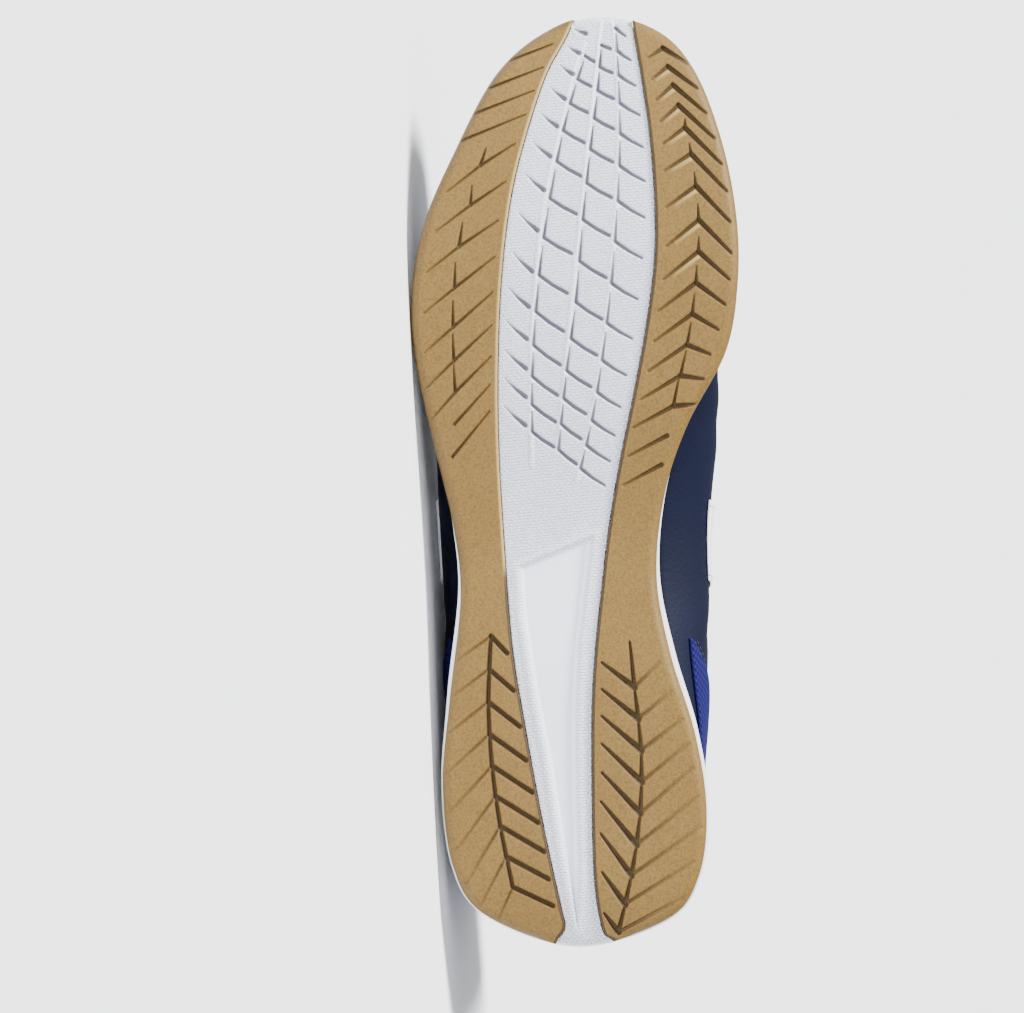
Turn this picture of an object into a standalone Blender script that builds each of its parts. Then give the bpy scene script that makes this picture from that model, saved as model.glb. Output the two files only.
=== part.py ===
"""Indoor soccer shoe for the right foot, lying on its outer side.

Each piece is modelled upright in shoe axes: +X to the outer side, +Y to the toe and
+Z up, with the back of the heel at Y = 0 and the tread's flat at Z = 0. An empty then
turns the whole shoe onto its outer side, where sole edge and upper touch the floor.
Lengths in the tables are shares of the named size that the column's text gives.
"""

import math
from typing import NamedTuple

import bmesh
import bpy
from mathutils import Matrix, Vector

# Driving sizes of the last, in metres
SOLE_LENGTH = 0.2935
BALL_WIDTH = 0.1028
WAIST_WIDTH = 0.062
HEEL_WIDTH = 0.0826
INSTEP_HEIGHT = 0.092
COLLAR_HEIGHT = 0.088
TOE_SPRING = 0.018
ARCH_LIFT = 0.003
HEEL_BEVEL = 0.004

# Sizes of the sole, in metres
HEEL_STACK = 0.022
GUM_THICKNESS = 0.0032
GUM_WRAP = 0.009
GUM_WALL = 0.0018
GUM_EDGE = 0.003
MIDSOLE_FLARE = 0.0015
MIDSOLE_GROOVE = 0.0012
CENTRE_RECESS = 0.0009
SHANK_RECESS = 0.0014
LUG_GROOVE_WIDTH = 0.0015
LUG_GROOVE_DEPTH = 0.0012

# Sizes of the upper and what goes in it, in metres
UPPER_WALL = 0.0022
COLLAR_WALL = 0.0056
OVERLAY = 0.0009
TUCK = 0.0022
THROAT_WIDTH = 0.038
INSOLE_THICKNESS = 0.004
TONGUE_THICKNESS = 0.0042
TONGUE_WIDTH = 0.05
EYELET_BORE = 0.0044
EYELET_INSET = 0.0085
EYELET_PAIRS = 6
LACE_WIDTH = 0.0066
LACE_THICKNESS = 0.0012
COLLAR_PAD_DEPTH = 0.025

# Clearances, in metres
GAP = 0.0003
INSOLE_GAP = 0.0012
LACE_GAP = 0.0005
TONGUE_GAP = 0.0011

# Places along the shoe, as shares of SOLE_LENGTH from the back of the heel
HEEL_CENTRE = 0.143
HEEL_FLAT_START = 0.085
HEEL_FLAT_END = 0.273
THROAT_TOP = 0.412
FOREFOOT_FLAT_START = 0.630
THROAT_FRONT = 0.698
TOE_CENTRE = 0.852
COLLAR_PAD_END = 0.372
EYELET_TOP = 0.438
EYELET_FRONT = 0.670
EYESTAY_FRONT = 0.7365
SADDLE_BACK = 0.30
SADDLE_FRONT = 0.60
COUNTER_FRONT = 0.37

# Points across a rib, as shares of its reach, and the groove's place on the side
BED_ROWS = (0.45, 0.75)
GROOVE_PLACE = 0.62

# Densities, in kilograms per cubic metre
RUBBER = 1200.0
SYNTHETIC = 900.0
FABRIC = 300.0


class Rim(NamedTuple):
    """A point of the sole's outline: shares of SOLE_LENGTH and of the width named."""

    along: float
    across: float
    width: float


class Section(NamedTuple):
    """A cross-section of the upper. Heights are shares of INSTEP_HEIGHT, overhangs
    past the sole's outline are shares of BALL_WIDTH, roundness is the power."""

    along: float
    crest: float
    roundness: float
    inner_overhang: float
    outer_overhang: float
    bulge: float


class Stack(NamedTuple):
    """The sole's side: stack is a share of HEEL_STACK, wrap of GUM_WRAP, flare of
    MIDSOLE_FLARE, spine of BALL_WIDTH."""

    along: float
    stack: float
    wrap: float
    flare: float
    spine: float


class Topline(NamedTuple):
    """The collar's edge, as a share of COLLAR_HEIGHT."""

    along: float
    height: float


class Throat(NamedTuple):
    """The throat's half width, as a share of THROAT_WIDTH."""

    along: float
    half_width: float


class Edge(NamedTuple):
    """A point of a tread edge in plan: shares of SOLE_LENGTH and BALL_WIDTH."""

    along: float
    across: float


class Chevron(NamedTuple):
    """A lug groove: its apex and the ends of its inner and outer legs, as shares of
    SOLE_LENGTH and of the width that its TreadBlock names."""

    number: int
    apex: float
    apex_across: float
    inner: float
    inner_across: float
    outer: float
    outer_across: float


class TreadBlock(NamedTuple):
    """A run of chevrons; those before first_outer have no outer leg."""

    piece: str
    count: int
    width: float
    first_outer: int
    last_outer: int
    rows: tuple


class PanelEdge(NamedTuple):
    """A corner of an overlay's side outline: shares of SOLE_LENGTH, COLLAR_HEIGHT."""

    along: float
    height: float


class TongueRow(NamedTuple):
    """The tongue: shares of SOLE_LENGTH, TONGUE_WIDTH and TONGUE_THICKNESS."""

    along: float
    width: float
    thickness: float


class SideStep(NamedTuple):
    """A point of the midsole's side: inset and lift are shares of MIDSOLE_GROOVE, and
    level is a share of the side's height over the gum."""

    inset: float
    level: float
    lift: float


OUTLINE = (
    Rim(1.000, -0.063, BALL_WIDTH),
    Rim(0.984, -0.233, BALL_WIDTH),
    Rim(0.940, -0.346, BALL_WIDTH),
    Rim(0.864, -0.429, BALL_WIDTH),
    Rim(0.784, -0.474, BALL_WIDTH),
    Rim(0.712, -0.479, BALL_WIDTH),
    Rim(0.638, -0.443, BALL_WIDTH),
    Rim(0.559, -0.539, WAIST_WIDTH),
    Rim(0.485, -0.424, WAIST_WIDTH),
    Rim(0.399, -0.384, WAIST_WIDTH),
    Rim(0.317, -0.453, WAIST_WIDTH),
    Rim(0.232, -0.433, HEEL_WIDTH),
    Rim(0.150, -0.478, HEEL_WIDTH),
    Rim(0.078, -0.448, HEEL_WIDTH),
    Rim(0.032, -0.327, HEEL_WIDTH),
    Rim(0.003, 0.015, HEEL_WIDTH),
    Rim(0.036, 0.360, HEEL_WIDTH),
    Rim(0.089, 0.484, HEEL_WIDTH),
    Rim(0.177, 0.522, HEEL_WIDTH),
    Rim(0.266, 0.496, HEEL_WIDTH),
    Rim(0.375, 0.608, WAIST_WIDTH),
    Rim(0.450, 0.645, WAIST_WIDTH),
    Rim(0.535, 0.445, BALL_WIDTH),
    Rim(0.620, 0.499, BALL_WIDTH),
    Rim(0.688, 0.517, BALL_WIDTH),
    Rim(0.770, 0.481, BALL_WIDTH),
    Rim(0.845, 0.396, BALL_WIDTH),
    Rim(0.937, 0.262, BALL_WIDTH),
    Rim(0.986, 0.102, BALL_WIDTH),
)

SECTIONS = (
    Section(0.000, 1.370, 2.0, -0.022, -0.022, 0.196),
    Section(0.119, 1.348, 2.0, -0.022, -0.022, 0.207),
    Section(0.187, 1.304, 2.0, -0.009, -0.015, 0.217),
    Section(0.256, 1.261, 2.0, 0.047, 0.022, 0.228),
    Section(0.324, 1.196, 1.9, 0.112, 0.058, 0.239),
    Section(0.392, 1.109, 1.9, 0.153, 0.075, 0.239),
    Section(0.460, 1.000, 1.9, 0.146, 0.058, 0.228),
    Section(0.528, 0.902, 2.0, 0.112, 0.019, 0.196),
    Section(0.579, 0.837, 2.0, 0.054, -0.005, 0.152),
    Section(0.637, 0.755, 2.1, -0.019, -0.019, 0.120),
    Section(0.698, 0.674, 2.2, -0.024, -0.024, 0.098),
    Section(0.767, 0.609, 2.3, -0.024, -0.024, 0.087),
    Section(0.852, 0.543, 2.4, -0.024, -0.024, 0.076),
    Section(0.920, 0.511, 2.5, -0.029, -0.029, 0.065),
    Section(1.000, 0.478, 2.5, -0.034, -0.034, 0.054),
)

STACKS = (
    Stack(0.000, 1.000, 0.67, 0.67, 0.015),
    Stack(0.204, 0.977, 0.55, 0.67, 0.015),
    Stack(0.324, 0.909, 0.50, 1.00, 0.005),
    Stack(0.460, 0.795, 0.50, 0.30, 0.000),
    Stack(0.579, 0.682, 0.58, -0.30, -0.010),
    Stack(0.698, 0.591, 0.67, -0.67, -0.019),
    Stack(0.852, 0.568, 0.83, -0.67, -0.029),
    Stack(1.000, 0.568, 1.00, -0.67, -0.029),
)

TOPLINES = (
    Topline(0.000, 1.000),
    Topline(0.051, 0.966),
    Topline(0.119, 0.898),
    Topline(0.187, 0.852),
    Topline(0.256, 0.847),
    Topline(0.324, 0.898),
    Topline(0.375, 0.977),
    Topline(0.426, 1.080),
)

THROATS = (
    Throat(0.392, 0.500),
    Throat(0.477, 0.408),
    Throat(0.579, 0.303),
    Throat(0.664, 0.211),
    Throat(0.687, 0.125),
    Throat(0.698, 0.000),
)

# The inner edges of the two gum bands, from toe to heel
OUTER_BAND_EDGE = (
    Edge(1.030, -0.010),
    Edge(0.979, 0.045),
    Edge(0.935, 0.108),
    Edge(0.869, 0.167),
    Edge(0.800, 0.212),
    Edge(0.711, 0.240),
    Edge(0.613, 0.250),
    Edge(0.515, 0.246),
    Edge(0.402, 0.226),
    Edge(0.319, 0.205),
    Edge(0.244, 0.170),
    Edge(0.139, 0.115),
    Edge(0.048, 0.059),
    Edge(0.024, 0.046),
    Edge(0.008, 0.070),
    Edge(-0.030, 0.110),
)

INNER_BAND_EDGE = (
    Edge(1.030, -0.140),
    Edge(0.991, -0.154),
    Edge(0.935, -0.182),
    Edge(0.869, -0.210),
    Edge(0.800, -0.226),
    Edge(0.735, -0.226),
    Edge(0.662, -0.200),
    Edge(0.589, -0.161),
    Edge(0.525, -0.123),
    Edge(0.460, -0.091),
    Edge(0.392, -0.067),
    Edge(0.284, -0.039),
    Edge(0.175, -0.036),
    Edge(0.078, -0.043),
    Edge(0.022, -0.067),
    Edge(0.008, -0.100),
    Edge(-0.030, -0.150),
)

SHANK = (
    Edge(0.409, 0.192),
    Edge(0.355, 0.182),
    Edge(0.270, 0.143),
    Edge(0.206, 0.106),
    Edge(0.110, 0.061),
    Edge(0.025, 0.012),
    Edge(0.020, 0.004),
    Edge(0.080, -0.003),
    Edge(0.164, 0.003),
    Edge(0.249, 0.006),
    Edge(0.323, -0.003),
    Edge(0.387, -0.024),
    Edge(0.443, -0.043),
)

FOREFOOT_INNER = (
    Chevron(0, 0.964, -0.248, 0.953, -0.203, 0.947, -0.325),
    Chevron(3, 0.901, -0.297, 0.883, -0.241, 0.865, -0.406),
    Chevron(5, 0.848, -0.336, 0.830, -0.255, 0.808, -0.444),
    Chevron(7, 0.777, -0.360, 0.749, -0.262, 0.742, -0.458),
    Chevron(9, 0.710, -0.352, 0.680, -0.238, 0.687, -0.440),
    Chevron(11, 0.644, -0.325, 0.616, -0.207, 0.634, -0.395),
    Chevron(13, 0.579, -0.283, 0.556, -0.161, 0.581, -0.353),
    Chevron(15, 0.517, -0.248, 0.495, -0.132, 0.524, -0.300),
)

FOREFOOT_OUTER = (
    Chevron(0, 0.953, 0.205, 0.968, 0.097, 0.940, 0.240),
    Chevron(3, 0.866, 0.345, 0.890, 0.180, 0.845, 0.390),
    Chevron(4, 0.836, 0.306, 0.860, 0.200, 0.808, 0.407),
    Chevron(6, 0.749, 0.369, 0.777, 0.250, 0.721, 0.470),
    Chevron(8, 0.663, 0.387, 0.701, 0.264, 0.636, 0.474),
    Chevron(10, 0.594, 0.380, 0.632, 0.271, 0.563, 0.457),
    Chevron(12, 0.525, 0.390, 0.574, 0.275, 0.500, 0.420),
)

HEEL_OUTER = (
    Chevron(0, 0.334, 0.338, 0.316, 0.277, 0.308, 0.464),
    Chevron(2, 0.264, 0.348, 0.238, 0.229, 0.228, 0.507),
    Chevron(4, 0.196, 0.334, 0.168, 0.182, 0.146, 0.494),
    Chevron(6, 0.132, 0.303, 0.105, 0.138, 0.069, 0.434),
    Chevron(8, 0.067, 0.255, 0.047, 0.103, 0.028, 0.316),
)

HEEL_INNER = (
    Chevron(0, 0.280, -0.205, 0.306, -0.083, 0.306, -0.300),
    Chevron(2, 0.213, -0.231, 0.249, -0.083, 0.246, -0.387),
    Chevron(4, 0.146, -0.227, 0.189, -0.083, 0.194, -0.426),
    Chevron(6, 0.080, -0.194, 0.124, -0.079, 0.131, -0.457),
    Chevron(8, 0.019, -0.144, 0.039, -0.092, 0.057, -0.396),
)

TREAD = (
    TreadBlock("outsole_medial", 16, BALL_WIDTH, 0, 13, FOREFOOT_INNER),
    TreadBlock("outsole_lateral", 13, BALL_WIDTH, 4, 10, FOREFOOT_OUTER),
    TreadBlock("outsole_lateral", 9, HEEL_WIDTH, 0, 8, HEEL_OUTER),
    TreadBlock("outsole_medial", 9, HEEL_WIDTH, 0, 8, HEEL_INNER),
)

SADDLE = (
    PanelEdge(0.392, 0.45),
    PanelEdge(0.480, 0.40),
    PanelEdge(0.450, 1.20),
    PanelEdge(0.345, 1.20),
)

COUNTER = (
    PanelEdge(-0.10, 0.325),
    PanelEdge(0.102, 0.318),
    PanelEdge(0.204, 0.307),
    PanelEdge(0.273, 0.310),
    PanelEdge(0.330, 0.318),
    PanelEdge(0.290, 0.420),
    PanelEdge(0.238, 0.520),
    PanelEdge(0.170, 0.625),
    PanelEdge(0.102, 0.690),
    PanelEdge(0.034, 0.725),
    PanelEdge(-0.10, 0.735),
)

TONGUE = (
    TongueRow(0.327, 0.66, 0.90),
    TongueRow(0.345, 0.90, 1.00),
    TongueRow(0.380, 1.00, 1.00),
    TongueRow(0.470, 0.96, 1.00),
    TongueRow(0.600, 0.76, 0.80),
    TongueRow(0.728, 0.62, 0.55),
)

MIDSOLE_SIDE = (
    SideStep(0.0, 0.0, 1.0),
    SideStep(0.0, GROOVE_PLACE, -0.6),
    SideStep(0.8, GROOVE_PLACE, 0.0),
    SideStep(0.1, GROOVE_PLACE, 0.6),
    SideStep(0.4, 1.0, -0.6),
)

TOE_FAN_STEPS = 10
HEEL_FAN_STEPS = 10
LOWER_ROWS = 3
UPPER_ROWS = (0.0, 0.18, 0.36, 0.53, 0.68, 0.78, 0.89, 1.0)
EYESTAY_ROW = LOWER_ROWS + 4
PANEL_ROWS = (1, LOWER_ROWS + 3)
TONGUE_STEPS = 13
TONGUE_HALF_POINTS = 3
TONGUE_EDGE_TAPER = 0.6
LACE_STEPS = 8
HALVINGS = 30
SIDEWAYS = 0.6
MITRE_LIMIT = 0.35
EDGE_SHARE = 0.3
LIP_SHARE = 1.3
LUG_GROOVE_RING = ((1.2, -1), (-1.2, -1), (-0.35, 1), (0.35, 1))
HOLE_SIDES = 8
SPLINE_STEPS = 8
BAND_STEPS = 3

PIECES = bpy.data.collections.new("indoor_soccer_shoe")
CUTTERS = bpy.data.collections.new("cutters")


def clear_scene():
    """Removes every object, and links the two collections."""
    for item in list(bpy.data.objects):
        bpy.data.objects.remove(item, do_unlink=True)
    bpy.context.scene.collection.children.link(PIECES)
    bpy.context.scene.collection.children.link(CUTTERS)


def read(rows, column, along):
    """A table's column at a place along the shoe, smooth between its rows."""
    keys = [row.along for row in rows]
    values = [getattr(row, column) for row in rows]
    return smooth(keys, values, along)


def smooth(keys, values, place):
    """Cubic through the values with slopes from their neighbours, flat outside."""
    if place <= keys[0]:
        return values[0]
    if place >= keys[-1]:
        return values[-1]
    i = max(k for k in range(len(keys) - 1) if keys[k] <= place)
    span = keys[i + 1] - keys[i]
    t = (place - keys[i]) / span

    def slope(k):
        low, high = max(k - 1, 0), min(k + 1, len(keys) - 1)
        return (values[high] - values[low]) / (keys[high] - keys[low]) * span

    a, b = values[i], values[i + 1]
    return (
        a * (2 * t**3 - 3 * t**2 + 1)
        + slope(i) * (t**3 - 2 * t**2 + t)
        + b * (3 * t**2 - 2 * t**3)
        + slope(i + 1) * (t**3 - t**2)
    )


def spline(points, closed, steps):
    """A dense smooth line through plan points."""
    count = len(points)
    spans = count if closed else count - 1
    line = []
    for i in range(spans):
        if closed:
            p0, p1, p2, p3 = (points[(i + k) % count] for k in (-1, 0, 1, 2))
        else:
            p0, p1, p2, p3 = (points[min(max(i + k, 0), count - 1)] for k in (-1, 0, 1, 2))
        for step in range(steps):
            t = step / steps
            a = p1 * 2 + (p2 - p0) * t
            b = (p0 * 2 - p1 * 5 + p2 * 4 - p3) * t**2
            c = (p1 * 3 - p0 - p2 * 3 + p3) * t**3
            line.append((a + b + c) * 0.5)
    if not closed:
        line.append(points[-1].copy())
    return line


OUTLINE_LINE = spline(
    [Vector((row.across * row.width, row.along * SOLE_LENGTH)) for row in OUTLINE], True, SPLINE_STEPS
)


def reach(spine, direction):
    """How far the outline lies from a spine point, along a direction in plan, and how
    much longer a step along that direction is than a step square to the outline."""
    best, slant = 0.0, 1.0
    side = Vector((-direction.y, direction.x))
    for i, a in enumerate(OUTLINE_LINE):
        b = OUTLINE_LINE[(i + 1) % len(OUTLINE_LINE)]
        da, db = (a - spine).dot(side), (b - spine).dot(side)
        if da * db > 0 or da == db:
            continue
        distance = (a.lerp(b, da / (da - db)) - spine).dot(direction)
        if distance > best:
            best = distance
            slant = 1 / max(abs((b - a).normalized().dot(side)), 0.5)
    return best, slant


class Rib(NamedTuple):
    """A vertical plane that holds one section: its spine point, direction, reach to
    the outline, and slant to it."""

    spine: Vector
    direction: Vector
    reach: float
    slant: float

    def inside(self, step):
        """How far out a line lies that runs a step inside the outline."""
        return self.reach - step * self.slant

    def at(self, distance, height):
        """The point at a distance from the spine and a height."""
        spot = self.spine + self.direction * distance
        return Vector((spot.x, spot.y, height))

    def along(self, distance):
        """The share of SOLE_LENGTH at a distance from the spine."""
        return (self.spine.y + self.direction.y * distance) / SOLE_LENGTH


def rib_at(along, angle):
    """The rib from the spine at a place, with its direction's angle in plan."""
    spine = Vector((read(STACKS, "spine", along) * BALL_WIDTH, along * SOLE_LENGTH))
    direction = Vector((math.cos(angle), math.sin(angle)))
    return Rib(spine, direction, *reach(spine, direction))


def spread(start, end, steps):
    """Even places from start up to, but without, end."""
    return [start + (end - start) * i / steps for i in range(steps)]


STATIONS = (
    spread(HEEL_CENTRE, HEEL_FLAT_END, 3)
    + spread(HEEL_FLAT_END, THROAT_TOP, 4)
    + spread(THROAT_TOP, FOREFOOT_FLAT_START, 6)
    + spread(FOREFOOT_FLAT_START, THROAT_FRONT, 2)
    + spread(THROAT_FRONT, TOE_CENTRE, 4)
    + [TOE_CENTRE]
)


def all_ribs():
    """Every rib, counter-clockwise seen from above, from the outer side of the heel."""
    ribs = [rib_at(along, 0.0) for along in STATIONS]
    for i in range(1, TOE_FAN_STEPS):
        ribs.append(rib_at(TOE_CENTRE, math.pi * i / TOE_FAN_STEPS))
    ribs += [rib_at(along, math.pi) for along in reversed(STATIONS)]
    for i in range(1, HEEL_FAN_STEPS):
        ribs.append(rib_at(HEEL_CENTRE, math.pi * (1 + i / HEEL_FAN_STEPS)))
    return ribs


RIBS = all_ribs()


def ground(along):
    """The tread's height: bevelled heel, flats, arch and toe spring."""
    height = 0.0
    if along < HEEL_FLAT_START:
        height += HEEL_BEVEL * ((HEEL_FLAT_START - along) / HEEL_FLAT_START) ** 2
    if HEEL_FLAT_END < along < FOREFOOT_FLAT_START:
        share = (along - HEEL_FLAT_END) / (FOREFOOT_FLAT_START - HEEL_FLAT_END)
        height += ARCH_LIFT * math.sin(math.pi * share) ** 2
    if along > THROAT_FRONT:
        height += TOE_SPRING * ((along - THROAT_FRONT) / (1 - THROAT_FRONT)) ** 2
    return height


def edge_height(along):
    """The height of the midsole's top edge."""
    return ground(along) + read(STACKS, "stack", along) * HEEL_STACK


def crest(along):
    """The height of the upper's ridge, as if the throat were closed."""
    return read(SECTIONS, "crest", along) * INSTEP_HEIGHT


def flare(rib):
    """How far the midsole's side stands outside the outline."""
    return read(STACKS, "flare", rib.along(rib.reach)) * MIDSOLE_FLARE


def widest(rib):
    """How far out the upper bulges on a rib."""
    along = rib.along(rib.reach)
    outer_share = (1 + rib.direction.x) / 2
    overhang = read(SECTIONS, "outer_overhang", along) * outer_share
    overhang += read(SECTIONS, "inner_overhang", along) * (1 - outer_share)
    return rib.inside(-overhang * BALL_WIDTH)


def foot_line(rib):
    """How far out the upper meets the sole on a rib."""
    return rib.inside(TUCK - flare(rib))


def bulge_height(rib):
    """The height of the upper's widest point on a rib."""
    along = rib.along(rib.reach)
    return edge_height(along) + read(SECTIONS, "bulge", along) * INSTEP_HEIGHT


def upper_point(rib, t):
    """The upper's outer face: t runs from 0 at the sole over 1 at the widest point
    to 2 at the ridge."""
    wide, low = widest(rib), foot_line(rib)
    high, base = bulge_height(rib), edge_height(rib.along(low)) + GAP
    if t < 1:
        return rib.at(wide - (wide - low) * (1 - t) ** 2, base + (high - base) * t)
    angle = (t - 1) * math.pi / 2
    power = 2 / read(SECTIONS, "roundness", rib.along(rib.reach))
    out = wide * max(math.cos(angle), 0.0) ** power
    rise = math.sin(angle) ** power
    return rib.at(out, high + (crest(rib.along(out)) - high) * rise)


def is_cut(rib, t):
    """Whether the throat or the collar has cut the upper away at t."""
    spot = upper_point(rib, t)
    along = spot.y / SOLE_LENGTH
    if along < TOPLINES[-1].along and spot.z > read(TOPLINES, "height", along) * COLLAR_HEIGHT:
        return True
    if not THROATS[0].along < along < THROAT_FRONT:
        return False
    half = read(THROATS, "half_width", along) * THROAT_WIDTH
    return abs(spot.x - rib.spine.x) < half


def last_t(rib):
    """Where the upper ends on a rib: at its opening, or at the ridge."""
    if not is_cut(rib, 2.0 - 1e-6):
        return 2.0
    low, high = 1.0, 2.0
    for _ in range(HALVINGS):
        middle = (low + high) / 2
        if is_cut(rib, middle):
            high = middle
        else:
            low = middle
    return low


def upper_column(rib):
    """The upper's outer points on one rib, from the sole to the opening."""
    end = last_t(rib)
    column = [upper_point(rib, i / LOWER_ROWS) for i in range(LOWER_ROWS)]
    column += [upper_point(rib, 1 + (end - 1) * share) for share in UPPER_ROWS]
    return column


UPPER_GRID = [upper_column(rib) for rib in RIBS]


def finish(name, colour, roughness):
    """A plain material for one kind of surface."""
    material = bpy.data.materials.new(name)
    material.use_nodes = True
    shader = material.node_tree.nodes["Principled BSDF"]
    shader.inputs["Base Color"].default_value = (*colour, 1.0)
    shader.inputs["Roughness"].default_value = roughness
    shader.inputs["Metallic"].default_value = 0.0
    return material


def add_piece(name, mesh, material, collection=PIECES):
    """Adds an object for a mesh to a collection."""
    item = bpy.data.objects.new(name, mesh)
    collection.objects.link(item)
    if material is not None:
        mesh.materials.append(material)
    if collection is CUTTERS:
        item.hide_render = True
        item.display_type = "WIRE"
    return item


def grid_mesh(name, columns):
    """A mesh of quads over columns of points, closed around."""
    bm = bmesh.new()
    grid = [[bm.verts.new(point) for point in column] for column in columns]
    for i, right in enumerate(grid):
        left = grid[i - 1]
        for j in range(len(left) - 1):
            bm.faces.new((left[j], right[j], right[j + 1], left[j + 1]))
    bmesh.ops.remove_doubles(bm, verts=bm.verts, dist=1e-6)
    mesh = bpy.data.meshes.new(name)
    bm.to_mesh(mesh)
    bm.free()
    mesh.shade_smooth()
    return mesh


def solid_of_profiles(name, profile, material):
    """A closed solid from a profile for each rib, centre below to centre above."""
    return add_piece(name, grid_mesh(name, [profile(rib) for rib in RIBS]), material)


def thicken(item, wall, offset):
    """Gives an open surface its wall."""
    modifier = item.modifiers.new("wall", "SOLIDIFY")
    modifier.thickness = wall
    modifier.offset = offset
    modifier.use_even_offset = True
    return modifier


def boolean(item, cutter, operation):
    """Cuts an object by a cutter, or keeps what they share."""
    modifier = item.modifiers.new(operation.lower(), "BOOLEAN")
    modifier.operation = operation
    modifier.object = cutter
    modifier.solver = "EXACT"
    return modifier


def prism(name, outline, base, top, turn=Matrix.Identity(4)):
    """A cutter with a flat outline, pulled from base to top along Z."""
    bm = bmesh.new()
    face = bm.faces.new([bm.verts.new((x, y, base)) for x, y in outline])
    face.normal_update()
    if face.normal.z > 0:
        face.normal_flip()
    pulled = bmesh.ops.extrude_face_region(bm, geom=[face])
    tops = [part for part in pulled["geom"] if isinstance(part, bmesh.types.BMVert)]
    bmesh.ops.translate(bm, verts=tops, vec=(0, 0, top - base))
    bmesh.ops.recalc_face_normals(bm, faces=bm.faces)
    bm.transform(turn)
    mesh = bpy.data.meshes.new(name)
    bm.to_mesh(mesh)
    bm.free()
    return add_piece(name, mesh, None, CUTTERS)


def cup_profile(recess):
    """The outsole's profile, with its bottom raised by a recess."""

    def profile(rib):
        along = rib.along(rib.reach)
        wrap = read(STACKS, "wrap", along) * GUM_WRAP
        inner = rib.inside(GUM_WALL)
        steps = [
            (0.0, recess),
            (rib.reach * BED_ROWS[0], recess),
            (rib.reach * BED_ROWS[1], recess),
            (rib.inside(GUM_EDGE), recess),
            (rib.inside(GUM_EDGE * EDGE_SHARE), recess + GUM_EDGE * EDGE_SHARE),
            (rib.reach, recess + GUM_EDGE),
            (rib.reach, wrap),
            (inner, wrap),
            (inner, GUM_THICKNESS),
            (rib.reach * BED_ROWS[1], GUM_THICKNESS),
            (rib.reach * BED_ROWS[0], GUM_THICKNESS),
            (0.0, GUM_THICKNESS),
        ]
        return [rib.at(out, ground(rib.along(out)) + height) for out, height in steps]

    return profile


def midsole_profile(rib):
    """The midsole: seated in the outsole, stepped out above it, grooved, and rounded
    in to the line where the upper stands."""
    along = rib.along(rib.reach)
    wrap = read(STACKS, "wrap", along) * GUM_WRAP
    stack = read(STACKS, "stack", along) * HEEL_STACK
    side = flare(rib)
    seat = rib.inside(GUM_WALL + GAP)
    steps = [(rib.reach * share, GUM_THICKNESS + GAP) for share in (0.0, *BED_ROWS)]
    steps += [
        (seat, GUM_THICKNESS + GAP),
        (seat, wrap + GAP),
        (rib.inside(GAP - side), wrap + GAP),
    ]
    for step in MIDSOLE_SIDE:
        height = wrap + (stack - wrap) * step.level + step.lift * MIDSOLE_GROOVE
        steps.append((rib.inside(step.inset * MIDSOLE_GROOVE - side), height))
    points = [rib.at(out, ground(rib.along(out)) + height) for out, height in steps]
    return points + [rib.at(out, edge_height(rib.along(out))) for out in bed_places(rib)]


def bed_places(rib):
    """How far out the midsole's top has its points, from its lip to the spine."""
    lip = rib.inside(MIDSOLE_GROOVE * LIP_SHARE - flare(rib))
    return [lip, rib.reach * BED_ROWS[1], rib.reach * BED_ROWS[0], 0.0]


def insole_profile(rib):
    """The insole: lies on the midsole inside the upper's foot line."""
    lip, *inner = bed_places(rib)
    edge = rib.inside(TUCK - flare(rib) + UPPER_WALL + INSOLE_GAP)
    share = (edge - inner[0]) / (lip - inner[0])
    edge_bed = edge_height(rib.along(inner[0])) * (1 - share)
    edge_bed += edge_height(rib.along(lip)) * share
    bed = [(edge, edge_bed)] + [(out, edge_height(rib.along(out))) for out in inner]
    floor = [rib.at(out, height + GAP) for out, height in reversed(bed)]
    return floor + [rib.at(out, height + GAP + INSOLE_THICKNESS) for out, height in bed]


def plan_point(row):
    """An edge row as a plan point in metres."""
    return Vector((row.across * BALL_WIDTH, row.along * SOLE_LENGTH))


def shifted(line, offset):
    """A plan line moved to its left by an offset."""
    moved = []
    for i, point in enumerate(line):
        tangent = (line[min(i + 1, len(line) - 1)] - line[max(i - 1, 0)]).normalized()
        moved.append(point + Vector((-tangent.y, tangent.x)) * offset)
    return moved


def leg_cutters(block):
    """The lines of one block of chevron grooves."""
    bars = []
    numbers = [row.number for row in block.rows]

    def spot(index, along_name, across_name):
        along = smooth(numbers, [getattr(row, along_name) for row in block.rows], index)
        across = smooth(numbers, [getattr(row, across_name) for row in block.rows], index)
        return Vector((across * block.width, along * SOLE_LENGTH))

    for index in range(block.count):
        line = [spot(index, "inner", "inner_across"), spot(index, "apex", "apex_across")]
        if block.first_outer <= index <= block.last_outer:
            line.append(spot(index, "outer", "outer_across"))
        bars.append(line)
    return bars


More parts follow.
